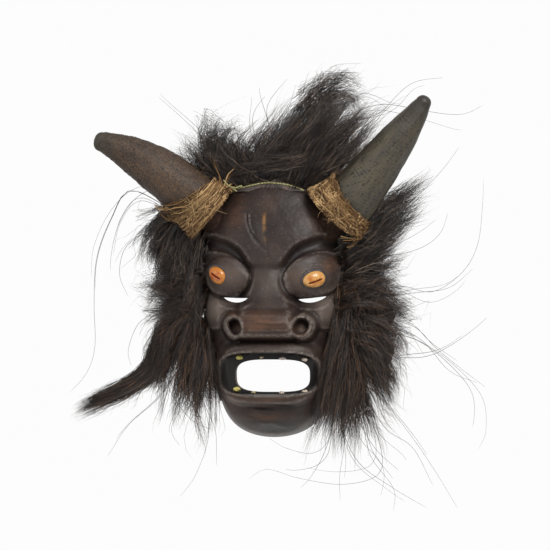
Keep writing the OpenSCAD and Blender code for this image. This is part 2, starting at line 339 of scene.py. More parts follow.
def brow_height(x):
    line = np.asarray(BROW, float)
    return np.interp(np.abs(x - BROW_X), line[:, 0], line[:, 1])


def brow_relief(x, z):
    d, _ = to_line(np.abs(x - BROW_X), z, curve(BROW))
    side = np.where(z > brow_height(x), d, -d)
    shelf = 6.2 * ease(-5.0, 3.4, side) * (1 - 0.75 * ease(4, 44, side)) * (1 - 0.3 * bump(x, z, BROW_X, 40, 16, 20, 1.0))
    lip = 0.5 * np.exp(-(((side - 1.9) / 1.7) ** 2)) * ease(10, 18, np.abs(x - BROW_X))
    hollow = -3.4 * np.exp(-(((side + 6.5) / 5.5) ** 2)) * ease(6, 20, np.abs(x - BROW_X))
    outer = 1 - ease(60, 72, np.abs(x))
    return (shelf + lip + hollow) * outer + bump(x, z, BROW_X, 40, 14, 12, 2.5, 2.6)


def eye_relief(x, z):
    # the lid is a small step: proud below its line, sunk above it
    dx = np.abs(x - LID_X)
    d, along = to_line(dx, z, curve(LID))
    line = np.asarray(LID, float)
    under = np.where(z < np.interp(dx, line[:, 0], line[:, 1]), d, -d)
    fade = ease(0, 0.12, along) * ease(0, 0.1, 1 - along)
    total = 1.9 * ease(-1.6, 0.9, under) * (1 - ease(1.5, 9, under)) * fade + 0.7 * np.exp(-(((under - 0.6) / 0.9) ** 2)) * fade
    for cx, cz, rx, rz, turn in MOUNDS:
        e = oval(x, z, cx, cz, rx, rz, 2.3, turn)
        here = ease(1.6, 1.2, e)
        low = ease(8, -8, z - cz)
        total += here * (9.5 * np.clip(1 - e**2, 0, 1) ** 0.6 - 0.5 - 3.6 * np.exp(-(((e - 1.07) / 0.10) ** 2)) * low)
    for i, (cx, cz) in enumerate(SLITS):
        total -= bump(x, z, cx + (0, 3)[i], cz + 0.5, 20, 6.0, 3.6, 2.6, (-1, 1)[i] * 8)
        total += ridge(x, z, [(cx - 21, cz + 6), (cx - 17, cz - 3), (cx - 8, cz - 7.5), (cx + 4, cz - 8.5), (cx + 14, cz - 5.5), (cx + 22, cz + 4 + 4 * i)], 1.3, 1.7, 0.2)
    # the rusty almond round the right shell
    total += ridge(x, z, [(37, 28), (42, 31), (50, 31.5), (57, 29)], 0.8, 1.0, 0.3)
    return total


# %% Nose and nostrils
NOSTRILS = [(-31.5, -30.0, 8.0, 10.0, 32), (32.5, -30.0, 8.4, 10.4, -24)]


def nose_relief(x, z):
    high = np.interp(z, [-44, -41.5, -38.5, -33, -26, -19, -12, 0, 14, 26, 34], [0, 13, 25, 31, 32, 29, 21, 12.5, 7.0, 3, 0])
    wide = np.interp(z, [-44, -38, -30, -20, -12, 0, 18, 34], [29, 31, 31, 30, 27, 22, 18, 14])
    across = np.abs(x + 1.0) / wide
    ball = high * (1 - ease(0.72, 1.28, across)) * (1 - 0.04 * across**2)
    wings = 0
    for cx, cz, rx, rz, turn in NOSTRILS:
        wing = oval(x, z, cx + np.sign(cx) * 1.5, cz + 0.5, rx + 5.0, rz + 4.0, 2.3, turn)
        wings = wings + (21 - 3 * ease(0, 9, np.sign(cx) * (x - cx))) * (1 - ease(0.6, 1.22, wing))
    total = (ball**4 + wings**4) ** 0.25
    total += ridge(x, z, [(26, -14), (25, -20), (23.5, -38)], -0.8, 2.4, 0.2)
    total += ridge(x, z, [(-25, -14), (-22, -22), (-18, -38)], -0.8, 2.6, 0.2)
    total += ridge(x, z, [(-28, -11.5), (-10, -12.5), (8, -12.5), (26, -11.5)], -0.8, 3.0, 0.2)
    for cx, cz, rx, rz, turn in NOSTRILS:
        rim = oval(x, z, cx, cz, rx, rz, 2.2, turn)
        total += 0.4 * np.exp(-(((rim - 1.16) / 0.15) ** 2)) * ease(-0.2, 0.6, (z - cz) / rz + 0.5 * np.sign(cx) * (x - cx) / rx)
        total -= (7.5 + 6.5 * ease(-0.4, 0.8, (z - cz) / rz)) * (1 - ease(0.55, 1.02, rim))
        total += ridge(x, z, [(cx + np.sign(cx) * 5, cz + 14), (cx + np.sign(cx) * 13, cz + 9), (cx + np.sign(cx) * 15.5, cz - 2), (cx + np.sign(cx) * 10, cz - 11)], -1.3, 1.5, 0.25)
    return total


# %% Cheeks, lips and chin
MOUTH_X, MOUTH_Z, MOUTH_W, MOUTH_T = 4.0, -78.0, 74.0, 32.0
BAND_Y = 62.0


def cheek_relief(x, z):
    ax = np.abs(x)
    shelf = 4.6 * ease(42, 54, ax) * (1 - ease(66, 73, ax)) * ease(-35, -30.5, z + 0.06 * (ax - 56)) * (1 - ease(-14, 2, z))
    total = shelf + bump(ax, z, 56, -14, 15, 17, 4.6, 2.2)
    total += ridge(ax, z, [(45, -40), (53, -50), (58, -64), (58, -84)], -2.0, 3.0, 0.2)
    total += ridge(ax, z, [(30, -11.5), (40, -12.5), (49, -17), (53, -26)], 1.2, 1.8, 0.15)
    return total


def mouth_relief(x, z):
    total = bump(x, z, MOUTH_X - 2, -84, 58, 35, 13, 3.6)
    e = oval(x, z, MOUTH_X - 4, MOUTH_Z + 2, 55.5, 34.0, 3.0)
    total += 8.5 * (1 - ease(0.84, 1.03, e))
    inner = oval(x, z, MOUTH_X - 4, MOUTH_Z + 2, 50.0, 21.0, 3.4)
    total += 1.3 * np.exp(-(((inner - 1.035) / 0.035) ** 2))
    total += ridge(x, z, [(-38, -49), (-14, -46.5), (10, -46.5), (36, -49)], -0.9, 1.3, 0.2)
    return total


def chin_relief(x, z):
    total = bump(x, z, 0, -123, 34, 12, 12, 2.6)
    total += ridge(x, z, [(-36, -104), (-14, -106), (8, -107), (30, -109.5)], -1.7, 1.7, 0.2)
    total += ridge(x, z, [(-28, -109.5), (-8, -110.5), (14, -112)], -0.8, 1.1, 0.3)
    total += ridge(x, z, [(-26, -117), (-10, -119), (2, -118)], -0.8, 1.2, 0.3)
    total += ridge(x, z, [(-14, -124), (-4, -126), (2, -125.5), (12, -128.5), (20, -129.5)], 0.9, 2.0, 0.25)
    total += bump(x, z, 2, -131.5, 13, 4.5, -2.4, 2.0)
    total += ridge(x, z, [(-34, -126), (-22, -133), (0, -137), (22, -134), (36, -125)], 1.0, 2.2, 0.2)
    return total


def forehead_relief(x, z):
    total = ridge(x, z, [(-24, 86), (-21, 72), (-16, 61), (-8, 52), (0, 44)], -1.5, 1.1, 0.15)
    total += ridge(x, z, [(-19, 84), (-17, 70), (-12, 60)], -1.0, 0.9, 0.2)
    total += ridge(x, z, [(-21.5, 84), (-19, 70), (-14, 60)], 0.9, 1.0, 0.2)
    total += ridge(x, z, [(0, 55), (8, 56), (14, 53)], 0.5, 0.9, 0.2)
    total += ridge(x, z, [(-2, 40), (-1, 47), (-3, 56)], -0.5, 0.9, 0.2)
    total += ridge(x, z, [(-24, 50), (-20, 45), (-21, 53)], 0.5, 0.9, 0.2)
    total += ridge(x, z, [(51, 81), (53, 74), (55, 68)], 0.8, 0.9, 0.25)
    return total


def relief(x, z):
    carved = brow_relief(x, z) + eye_relief(x, z) + cheek_relief(x, z) + chin_relief(x, z) + forehead_relief(x, z)
    carved += 0.45 * noise(on_face(x, z), 30, 3, 2) + 0.16 * noise(on_face(x, z), 8, 4, 2)
    whole = carved + mouth_relief(x, z) + nose_relief(x, z)
    whole *= ease(3, 30, dome(x, z))
    # the band that the teeth stood on is sunk behind the lips
    e = oval(x, z, MOUTH_X - 4, MOUTH_Z + 2, 50.0, 21.0, 3.4)
    sunk = 1 - ease(0.93, 1.0, e)
    floor_at = np.minimum(BAND_Y, dome(x, z) + whole - 2.5) - dome(x, z)
    return whole * (1 - sunk) + floor_at * sunk


print("nose tip stands", round(float(dome(0, -26) + relief(np.array(0.0), np.array(-26.0))), 1), "mm from the rim")

# %% [markdown]
# ## The carved face
# Two square grids, one for the front and one for the hollow back, are laid over the outline and pushed to
# their depths. Their edges meet on the flat rim and are bridged, and the mouth and the viewing slits are
# cut through with booleans.

# %% Front and back skins
ROWS, COLUMNS, BACK_COLUMNS = 330, 216, 60


def laid_grid(name, columns):
    """A grid whose points run over the outline: returns it with its x and z in millimetres."""
    deselect()
    bpy.ops.mesh.primitive_grid_add(x_subdivisions=columns, y_subdivisions=ROWS, size=2)
    grid = bpy.context.object
    grid.name = name
    flat = coords(grid)
    z = Z_MID + Z_HALF * np.sin(flat[:, 1] * np.pi / 2)
    x = half_width(z) * np.sin(flat[:, 0] * np.pi / 2)
    on_rim = np.maximum(np.abs(flat[:, 0]), np.abs(flat[:, 1])) > 0.9999
    return grid, x, z, on_rim


def back_depth(x, z):
    inside = bump(x, z, MOUTH_X, -84, 56, 34, 10.4, 3.4)
    ax = np.abs(x)
    inside += bump(x, z, 0, -27, 25, 13, 23, 2.8) + bump(x, z, 0, 6, 13, 28, 6.5, 2.4) + bump(ax, z, 36, -29, 11, 11, 11, 2.6)
    inside += 2.0 * bump(ax, z, 43, 21, 25, 17, 1, 3) + 0.5 * noise(on_face(x, z), 16, 9, 2)
    return dome(x, z) * (FACE_D - WALL) / FACE_D + ease(4, 34, dome(x, z)) * inside


def make_skins():
    front, x, z, rim = laid_grid("mask_shell_visual", COLUMNS)
    set_coords(front, np.stack([x, np.where(rim, 0, -dome(x, z) - relief(x, z)), z], 1) * MM)
    back, x, z, rim = laid_grid("back", BACK_COLUMNS)
    bx, bz = x * (FACE_W - WALL) / FACE_W, Z_MID + (z - Z_MID) * (Z_HALF - WALL) / Z_HALF
    set_coords(back, np.stack([bx, np.where(rim, 0, -back_depth(x, z)), bz], 1) * MM)
    pick(back)
    bpy.ops.object.mode_set(mode="EDIT")
    bpy.ops.mesh.select_all(action="SELECT")
    bpy.ops.mesh.flip_normals()
    bpy.ops.object.mode_set(mode="OBJECT")
    for skin in (front, back):
        pick(skin)
        bpy.ops.object.mode_set(mode="EDIT")
        bpy.ops.mesh.select_all(action="SELECT")
        bpy.ops.mesh.remove_doubles(threshold=0.000002)
        bpy.ops.object.mode_set(mode="OBJECT")
    pick(front)
    back.select_set(True)
    bpy.ops.object.join()
    bpy.ops.object.mode_set(mode="EDIT")
    bpy.ops.mesh.select_mode(type="EDGE")
    bpy.ops.mesh.select_all(action="DESELECT")
    bpy.ops.mesh.select_non_manifold(extend=False, use_wire=False, use_boundary=True, use_multi_face=False, use_non_contiguous=False, use_verts=False)
    bpy.ops.mesh.bridge_edge_loops()
    bpy.ops.mesh.select_all(action="SELECT")
    bpy.ops.mesh.normals_make_consistent(inside=False)
    bpy.ops.object.mode_set(mode="OBJECT")
    return front


face = make_skins()
print("face skins", len(face.data.vertices), "points,", sum(len(p.vertices) - 2 for p in face.data.polygons), "triangles")

# %% Cut the openings
def prism(outline, y_near, y_far):
    """A closed prism along Y over an outline of (x, z) points that runs anticlockwise from the front."""
    n = len(outline)
    verts = [(x, y_near, z) for x, z in outline] + [(x, y_far, z) for x, z in outline]
    faces = [tuple(range(n)), tuple(range(2 * n - 1, n - 1, -1))]
    faces += [(i, i + n, (i + 1) % n + n, (i + 1) % n) for i in range(n)]
    return verts, faces


def cut(target, outline, y_near=-120.0, y_far=-20.0):
    verts, faces = prism(outline, y_near, y_far)
    mesh = bpy.data.meshes.new("cutter")
    mesh.from_pydata([tuple(c * MM for c in v) for v in verts], [], faces)
    cutter = bpy.data.objects.new("cutter", mesh)
    bpy.context.collection.objects.link(cutter)
    pick(cutter)
    bpy.ops.object.mode_set(mode="EDIT")
    bpy.ops.mesh.select_all(action="SELECT")
    bpy.ops.mesh.normals_make_consistent(inside=False)
    bpy.ops.object.mode_set(mode="OBJECT")
    pick(target)
    boolean = target.modifiers.new("cut", "BOOLEAN")
    boolean.operation = "DIFFERENCE"
    boolean.solver = "EXACT"
    boolean.object = cutter
    bpy.ops.object.modifier_apply(modifier="cut")
    bpy.data.objects.remove(cutter)


def superoval(cx, cz, rx, rz, power, steps=72):
    angles = np.arange(steps) * 2 * np.pi / steps
    c, s = np.cos(angles), np.sin(angles)
    return [(cx + rx * abs(a) ** (2 / power) * np.sign(a), cz + rz * abs(b) ** (2 / power) * np.sign(b)) for a, b in zip(c, s)]


def crescent(cx, cz, wide, tilt, steps=14):
    """A slit whose two edges sag: the upper a little, the lower more."""
    t = np.linspace(-1, 1, steps)
    low = [(cx + s * wide / 2, cz - 4.6 * (1 - s * s) ** 0.8 + 3.0 + tilt * s) for s in t]
    up = [(cx + s * wide / 2, cz + 3.2 - 0.4 * (1 - s * s) + tilt * s) for s in t[::-1][1:-1]]
    return low + up


cut(face, superoval(MOUTH_X, MOUTH_Z, MOUTH_W / 2, MOUTH_T / 2, 3.3))
for (slit_x, slit_z), tilt in zip(SLITS, (-0.4, 1.6)):
    cut(face, crescent(slit_x, slit_z, SLIT_WIDE, tilt))
print("face after the cuts", len(face.data.vertices), "points")

# %% [markdown]
# ## Marks that the materials read
# How far a spot stands out of its surroundings says where hands have rubbed the lacquer on the ridges, which
# also carry a painted highlight, and where painted shade darkens the hollows. It is worked out once from the
# relief and kept on the points as attributes, beside marks placed by position: warm patches, an ochre stripe,
# painted light on the lit swellings and painted shade in the recesses and at the sides.

# %% Attributes
def set_attribute(obj, name, values):
    held = obj.data.attributes.get(name) or obj.data.attributes.new(name, "FLOAT", "POINT")
    held.data.foreach_set("value", np.asarray(values, np.float32))


def blur(field, sigma):
    reach = int(3 * sigma) + 1
    kernel = np.exp(-0.5 * (np.arange(-reach, reach + 1) / sigma) ** 2)
    kernel /= kernel.sum()
    for axis in (0, 1):
        padded = np.pad(field, [(reach, reach) if a == axis else (0, 0) for a in (0, 1)], mode="edge")
        field = sum(k * np.take(padded, range(i, i + field.shape[axis]), axis) for i, k in enumerate(kernel))
    return field


def mark_face(obj):
    xs, zs = np.arange(-80, 80.01, 0.6), np.arange(-146, 133, 0.6)
    gx, gz = np.meshgrid(xs, zs)
    height = np.where(np.abs(gx) < half_width(gz), dome(gx, gz) + relief(gx, gz), 0)
    fine, broad = height - blur(height, 3.2), height - blur(height, 9)
    at = coords(obj) / MM
    ix = np.clip((at[:, 0] + 80) / 0.6, 0, len(xs) - 1.001)
    iz = np.clip((at[:, 2] + 146) / 0.6, 0, len(zs) - 1.001)
    i, j = ix.astype(int), iz.astype(int)
    fx, fz = ix - i, iz - j

    def sample(field):
        low = field[j, i] * (1 - fx) + field[j, i + 1] * fx
        return low * (1 - fz) + (field[j + 1, i] * (1 - fx) + field[j + 1, i + 1] * fx) * fz

    top, fine, broad = sample(height), sample(fine), sample(broad)
    behind = ease(1.5, 4.0, top + at[:, 1]) * ease(-0.4, -2.0, -np.abs(at[:, 1]))
    x, z = at[:, 0], at[:, 2]
    warm = bump(x, z, -3, -27, 26, 12, 0.85, 1.9) + bump(x, z, 50, 78, 10, 8, 0.5) + bump(x, z, 60, 31, 6, 7, 0.9)
    warm += bump(x, z, -32, 84, 9, 18, 0.4) + bump(x, z, 0, 92, 9, 12, 0.35) + bump(x, z, -38, -17, 8, 3.5, 0.7)
    warm += bump(x, z, 0, -100, 40, 6, 0.45) + bump(x, z, -8, -119, 26, 4.5, 0.85) + bump(x, z, -34, -104, 12, 8, 0.4)
    warm += bump(x, z, 33, -34, 7, 8, 0.6) + bump(x, z, -37, 20, 14, 12, 0.3) + bump(x, z, 26, 16, 10, 12, 0.2)
    ochre = ridge(x, z, [(-4.5, 92), (-5, 74), (-4, 60), (-3, 50)], 0.8, 1.5, 0.3) * ease(-0.6, 0.7, noise(at, 14, 21))
    mouth_e = oval(x, z, MOUTH_X - 4, MOUTH_Z + 2, 50.5, 21.5, 3.4)
    # painted shade: the sunk mouth band, the chin's hollow and underside, both temples and the hollow under each brow
    painted_shade = (1 - ease(0.93, 1.02, mouth_e)) + 0.8 * bump(x, z, 14, -131, 14, 5, 1.0) + bump(x, z, 74, 60, 16, 18, 0.6) + bump(x, z, -72, 50, 12, 22, 0.6)
    painted_shade += 0.5 * np.exp(-(((brow_height(x) - 8 - z) / 6.5) ** 2)) * ease(12, 26, np.abs(x - BROW_X))
    painted_shade += bump(x, z, 0, -122, 46, 17, 0.45, 2.6)
    set_attribute(obj, "painted_shade", np.clip(painted_shade, 0, 1) * (1 - behind))
    # wear and painted highlight: ridges that stand out of their surroundings, to be paled
    set_attribute(obj, "wear_and_highlight", np.clip((fine - 0.3) / 1.0, 0, 1) * (1 - behind))
    cheek = bump(np.abs(x), z, 57, -12, 13, 15, 1.0)
    # painted shade: hollows sunk against their surroundings, less on the lit cheeks
    set_attribute(obj, "deep", (np.clip(-fine / 1.4, 0, 1) * 0.7 + np.clip(-broad / 6, 0, 1) * 0.3) * (1 - 0.8 * cheek))
    # painted light: the lit cheeks, eye mounds, nose root and upper lip, to be made paler
    set_attribute(obj, "pale", np.clip(1.2 * cheek + bump(np.abs(x), z, 38, 22, 22, 13, 0.6) + bump(x, z, 0, 10, 11, 20, 0.35) + bump(x, z, 0, -52, 42, 5, 0.5), 0, 1) * (1 - behind))
    set_attribute(obj, "warm", np.clip(warm, 0, 1))
    set_attribute(obj, "ochre", ochre)
    set_attribute(obj, "behind", behind)


mark_face(face)

# %% [markdown]
# ## Lacquered wood
# Dark brown lacquer on carved softwood: nearly black, brown where fingers have rubbed it thin, a satin gloss
# all over, faint tool marks and fine scratches. Painted shade darkens the hollows and recesses, painted light
# lifts the lit swellings and the ridges carry pale wear with a painted highlight. The raw back is dull brown wood.

# %% Lacquered wood
def lacquered_wood():
    mat, shader = material("lacquered softwood", Roughness=0.5, Specular_IOR_Level=0.2)
    place = node(mat, "TexCoord")
    stretched = node(mat, "Mapping", {"Vector": (place, "Object")}, Scale=(1.0, 1.0, 0.16))
    level = node(mat, "Mapping", {"Vector": (place, "Object")}, Scale=(0.3, 1.0, 1.6))
    broad = node(mat, "TexNoise", {"Vector": (place, "Object")}, Scale=34.0, Detail=5.0, Roughness=0.62)
    grain = node(mat, "TexNoise", {"Vector": (stretched, "Vector")}, Scale=420.0, Detail=4.0, Roughness=0.6)
    rubbed = node(mat, "TexNoise", {"Vector": (level, "Vector")}, Scale=120.0, Detail=5.0, Roughness=0.6)
    fine = node(mat, "TexNoise", {"Vector": (place, "Object")}, Scale=260.0, Detail=6.0, Roughness=0.7)
    specks = node(mat, "TexNoise", {"Vector": (place, "Object")}, Scale=620.0, Detail=2.0)
    marks = {n: node(mat, "Attribute", attribute_name=n) for n in ("wear_and_highlight", "deep", "warm", "ochre", "behind", "painted_shade", "pale")}
    lacquer = ramp(mat, broad, "Fac", [(0.32, colour("#19110e")), (0.52, colour("#251c19")), (0.70, colour("#31251f"))])
    base = mix(mat, (ramp(mat, grain, "Fac", [(0.35, 0.0), (0.7, 0.35)]), "Color"), (lacquer, "Color"), colour("#19100e"))
    # painted light: lit swellings made paler
    base = mix(mat, (ramp(mat, marks["pale"], "Fac", [(0.0, 0.0), (1.0, 0.85)]), "Color"), base, colour("#534943"))
    warm_spots = node(mat, "Math", {0: (marks["warm"], "Fac"), 1: (ramp(mat, rubbed, "Fac", [(0.34, 0.15), (0.62, 1.0)]), "Color")}, operation="MULTIPLY")
    base = mix(mat, (warm_spots, "Value"), base, colour("#4f3524"))
    slanted = node(mat, "Mapping", {"Vector": (place, "Object")}, Scale=(0.45, 1.0, 1.0), Rotation=(0, 0.7, 0))
    scratches = node(mat, "TexNoise", {"Vector": (slanted, "Vector")}, Scale=700.0, Detail=2.0, Roughness=0.5)
    base = mix(mat, (ramp(mat, scratches, "Fac", [(0.67, 0.0), (0.73, 0.22)]), "Color"), base, colour("#7d7066"))
    # wear and painted highlight: pale grey on the ridges
    wear_and_highlight_spots = node(mat, "Math", {0: (marks["wear_and_highlight"], "Fac"), 1: (ramp(mat, fine, "Fac", [(0.36, 0.0), (0.60, 0.8)]), "Color")}, operation="MULTIPLY")
    base = mix(mat, (wear_and_highlight_spots, "Value"), base, colour("#6a615b"))
    # painted shade: the hollows turn near-black
    base = mix(mat, (ramp(mat, marks["deep"], "Fac", [(0.0, 0.0), (1.0, 0.8)]), "Color"), base, colour("#0e0908"))
    # painted shade: the sunk mouth band, brow hollows, temples and chin turn near-black
    base = mix(mat, (marks["painted_shade"], "Fac"), base, colour("#0b0706"))
    base = mix(mat, (marks["ochre"], "Fac"), base, colour("#74512a"))
    base = mix(mat, (ramp(mat, specks, "Fac", [(0.72, 0.0), (0.78, 0.3)]), "Color"), base, colour("#8f8173"))
    raw = ramp(mat, grain, "Fac", [(0.3, colour("#3b2a1e")), (0.6, colour("#5d4530")), (0.8, colour("#6f5539"))])
    base = mix(mat, (marks["behind"], "Fac"), base, (raw, "Color"))
    join(mat, base[0], base[1], shader, "Base Color")
    dull = ramp(mat, fine, "Fac", [(0.3, 0.40), (0.7, 0.56)])
    dull = mix(mat, (marks["behind"], "Fac"), (dull, "Color"), (0.8, 0.8, 0.8, 1))
    join(mat, dull[0], dull[1], shader, "Roughness")
    rough = mix(mat, 0.5, (fine, "Fac"), (grain, "Fac"))
    relief_bump = node(mat, "Bump", {"Height": rough}, Strength=0.35, Distance=0.0005)
    join(mat, relief_bump, "Normal", shader, "Normal")
    return mat


face.data.materials.clear()
face.data.materials.append(lacquered_wood())
smooth(face, 42)
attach(face, "root")
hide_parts("mask_shell")
print("face", len(face.data.polygons), "faces")

# %% [markdown]
# ## Tubes
# Hair, yarn and fibres are all thin tubes. One function sweeps many of them at once and writes one mesh,
# because thousands of curve objects would be slow. Hair has three sides and ends in a point.

# %% Tube tools
def tubes(name, paths, radii, sides, mat, tones=None, point=True):
    """paths is (tubes, rings, 3) in mm and radii (tubes, rings). Every tube is closed at both ends."""
    count, rings, _ = paths.shape
    along = np.gradient(paths, axis=1)
    along /= np.maximum(np.linalg.norm(along, axis=2, keepdims=True), 1e-9)
    lean = np.array([0.31, 0.93, 0.2])
    across = np.cross(along, lean)
    across /= np.maximum(np.linalg.norm(across, axis=2, keepdims=True), 1e-9)
    third = np.cross(along, across)
    angles = np.arange(sides) * 2 * np.pi / sides
    round_ = across[:, :, None] * np.cos(angles)[None, None, :, None] + third[:, :, None] * np.sin(angles)[None, None, :, None]
    skin = paths[:, :, None] + radii[:, :, None, None] * round_
    if point:
        verts = np.concatenate([skin[:, :-1].reshape(count, -1, 3), paths[:, -1:]], 1)
        hoops = rings - 1
    else:
        verts = skin.reshape(count, -1, 3)
        hoops = rings
    faces, loops = [], []
    for k in range(hoops - 1):
        for i in range(sides):
            j = (i + 1) % sides
            faces.append([k * sides + i, k * sides + j, (k + 1) * sides + j, (k + 1) * sides + i])
    last = (hoops - 1) * sides
    if point:
        faces += [[last + i, last + (i + 1) % sides, hoops * sides] for i in range(sides)]
    else:
        faces.append([last + i for i in range(sides)])
    faces.append([sides - 1 - i for i in range(sides)])
    sizes = np.array([len(f) for f in faces])
    corner = np.concatenate([np.array(f) for f in faces])
    per = verts.shape[1]
    all_corner = (corner[None] + np.arange(count)[:, None] * per).ravel()
    all_sizes = np.tile(sizes, count)
    starts = np.concatenate([[0], np.cumsum(all_sizes)[:-1]])
    mesh = bpy.data.meshes.new(name)
    mesh.vertices.add(count * per)
    mesh.vertices.foreach_set("co", (verts * MM).ravel())
    mesh.loops.add(len(all_corner))
    mesh.loops.foreach_set("vertex_index", all_corner.astype(np.int32))
    mesh.polygons.add(len(starts))
    mesh.polygons.foreach_set("loop_start", starts.astype(np.int32))
    mesh.polygons.foreach_set("use_smooth", np.ones(len(starts), bool))
    mesh.update(calc_edges=True)
    mesh.validate()
    obj = bpy.data.objects.new(name, mesh)
    bpy.context.collection.objects.link(obj)
    mesh.materials.append(mat)
    if tones is None:
        tones = rng(5).uniform(0, 1, count)
    set_attribute(obj, "tone", np.repeat(tones, per))
    return obj


def spline(points, rings):
    """Evenly spread places on a smooth line through a few points."""
    dense = curve3(points)
    runs = np.concatenate([[0], np.cumsum(np.linalg.norm(np.diff(dense, axis=0), axis=1))])
    want = np.linspace(0, runs[-1], rings)
    return np.stack([np.interp(want, runs, dense[:, c]) for c in range(3)], 1)


def curve3(points, per_step=10):
    p = np.asarray(points, float)
    p = np.vstack([2 * p[0] - p[1], p, 2 * p[-1] - p[-2]])
    t = (np.arange(per_step) / per_step)[:, None]
    out = []
    for a, b, c, d in zip(p[:-3], p[1:-2], p[2:-1], p[3:]):
        out.append(0.5 * (2 * b + (c - a) * t + (2 * a - 5 * b + 4 * c - d) * t**2 + (3 * b - a - 3 * c + d) * t**3))
    out.append(p[-2:-1])
    return np.vstack(out)


def lift_off_face(points, gap=0.8):
    """Moves places that are inside the wood forward until they clear it, and keeps all in front of the rim."""
    x, y, z = points[..., 0], points[..., 1], points[..., 2]
    over = np.abs(x) < half_width(z) + 1
    skin = -(dome(x, z) + np.where(over, np.maximum(soft_relief(x, z), 0), 0)) - gap
    y = np.where(over & (y > skin), skin, y)
    return np.stack([x, np.minimum(y, -0.9), z], -1)


def soft_relief(x, z):
    """The relief's broad swellings only, which is quick to work out."""
    return ease(3, 30, dome(x, z)) * (mouth_relief(x, z) + 6 * ease(30, 62, z) * ease(110, 70, z))


# %% [markdown]
# ## Coarse hair
# Near-black goat or horse hair, dull with a faint grey sheen. A guide is a smooth line with a spread at its
# root and its tip; each hair follows one guide with its own length, waves and thickness.

# %% Hair material
def hair_material(name, dark, mid, pale, dull):
    mat, shader = material(name, Roughness=dull, Specular_IOR_Level=0.5)
    tone = node(mat, "Attribute", attribute_name="tone")
    place = node(mat, "TexCoord")
    patches = node(mat, "TexNoise", {"Vector": (place, "Object")}, Scale=60.0, Detail=3.0)
    base = ramp(mat, tone, "Fac", [(0.0, colour(dark)), (0.45, colour(mid)), (0.82, colour(pale)), (1.0, colour(pale))])
    shade = mix(mat, (ramp(mat, patches, "Fac", [(0.4, 0.0), (0.7, 0.6)]), "Color"), (base, "Color"), colour(dark))
    join(mat, shade[0], shade[1], shader, "Base Color")
    return mat


BLACK_HAIR = hair_material("coarse black hair", "#080403", "#1e140e", "#7f6a59", 0.36)
BROWN_HAIR = hair_material("soft brown-black fur", "#090402", "#1e1108", "#6e523d", 0.40)
UNDERCOAT = hair_material("matted undercoat", "#060404", "#120c0a", "#1d1512", 0.7)

# %% Hair tools
BOX = np.array([[-221.0, -101.0, -216.0], [214.0, -0.3, 269.0]])


def inside_box(paths):
    """Shortens the hairs that would leave the model's box."""
    root = np.clip(paths[:, :1], BOX[0] + 1, BOX[1] - 1)
    way = paths - root
    room = np.where(way > 0, BOX[1] - root, BOX[0] - root) / np.where(np.abs(way) < 1e-6, 1e-6, way)
    share = np.clip(np.abs(room).min(axis=(1, 2)), 0.05, 1)
    return root + way * share[:, None, None]


def strays(name, lines, mat, seed, twins=2):
    """Single long hairs along chosen lines, each with a few twins that part from it toward the tip."""
    r = rng(seed)
    t = np.linspace(0, 1, 30)[:, None]
    paths = []
    for line in lines:
        main = spline(line, 30)
        for twin in range(twins):
            part = r.normal(size=(1, 3)) * (1.0 + 9.0 * twin) * t + 1.6 * r.normal(size=(1, 3)) * np.sin(2 * np.pi * r.uniform(0.5, 1.5) * t) * t
            short = 1 - 0.45 * twin * r.uniform(0.2, 1)
            k = t[:, 0] * short * 29
            i = np.minimum(k.astype(int), 28)
            paths.append(main[i] + (main[i + 1] - main[i]) * (k - i)[:, None] + part)
    paths = inside_box(lift_off_face(np.array(paths)))
    size = r.uniform(0.20, 0.30, (len(paths), 1)) * np.maximum(1 - 0.6 * t[:, 0][None] ** 2, 0.3)
    return tubes(name, paths, size, 3, mat, r.uniform(0.1, 0.5, len(paths)))


def hairs(name, guides, count, seed, mat, rings=9, thick=(0.15, 0.32), loose=1.0):
    """guides: (share, points, root spread, tip spread, curl), all in millimetres. Hairs grow in locks: a lock scatters from its guide, and its hairs scatter a little from the lock."""
    r = rng(seed)
    shares = np.array([g[0] for g in guides], float)
    numbers = np.maximum((count * shares / shares.sum()).astype(int), 1)
    all_paths = []
    t = np.linspace(0, 1, rings)[None, :, None]
    for (share, points, root, tip, curl), n in zip(guides, numbers):
        line = spline(points, 48)
        locks = max(n // 14, 1)
        lock = r.integers(0, locks, n)
        alone = (r.uniform(size=(n, 1, 1)) < (0.12 if n > 60 else 1.0)) * loose
        lock_reach = np.clip(r.beta(5, 2.0, locks) * 1.06, 0.35, 1.03)[lock]
        reach = np.clip(lock_reach + r.normal(size=n) * 0.08, 0.3, 1.1)
        late = np.clip(reach, 0, 1)[:, None] * np.linspace(0, 1, rings)[None]
        k = late * 47
        i = np.minimum(k.astype(int), 46)
        f = (k - i)[..., None]
        path = line[i] * (1 - f) + line[i + 1] * f
        path += (line[-1] - line[-3]) * 12 * np.maximum(reach - 1, 0)[:, None, None] * t
        start = r.normal(size=(locks, 1, 3))[lock] + 0.35 * r.normal(size=(n, 1, 3))
        end = r.normal(size=(locks, 1, 3))[lock] + (0.22 + 0.8 * alone) * r.normal(size=(n, 1, 3))
        path += np.array(root) * start * (1 - t) + (0.6 * np.array(root) * start + np.array(tip) * end) * t**1.3
        for wave in range(3):
            way = r.normal(size=(locks, 1, 3))[lock] + (0.3 + 0.9 * alone) * r.normal(size=(n, 1, 3))
            turns = r.uniform(0.5, 1.5, (locks, 1, 1))[lock] * (1 + wave)
            phase = r.uniform(0, 6.28, (locks, 1, 1))[lock] + 0.5 * r.normal(size=(n, 1, 1))
            path += curl * way * np.sin(2 * np.pi * turns * t + phase) * t**0.8 / (1 + 1.3 * wave)
        all_paths.append(path)
    paths = inside_box(lift_off_face(np.concatenate(all_paths)))
    n = len(paths)
    size = r.uniform(*thick, (n, 1)) * np.maximum(1 - 0.75 * np.linspace(0, 1, rings)[None] ** 1.5, 0.2)
    return tubes(name, paths, size, 3, mat, np.clip(r.beta(1.3, 2.6, n) + 0.02, 0, 1))


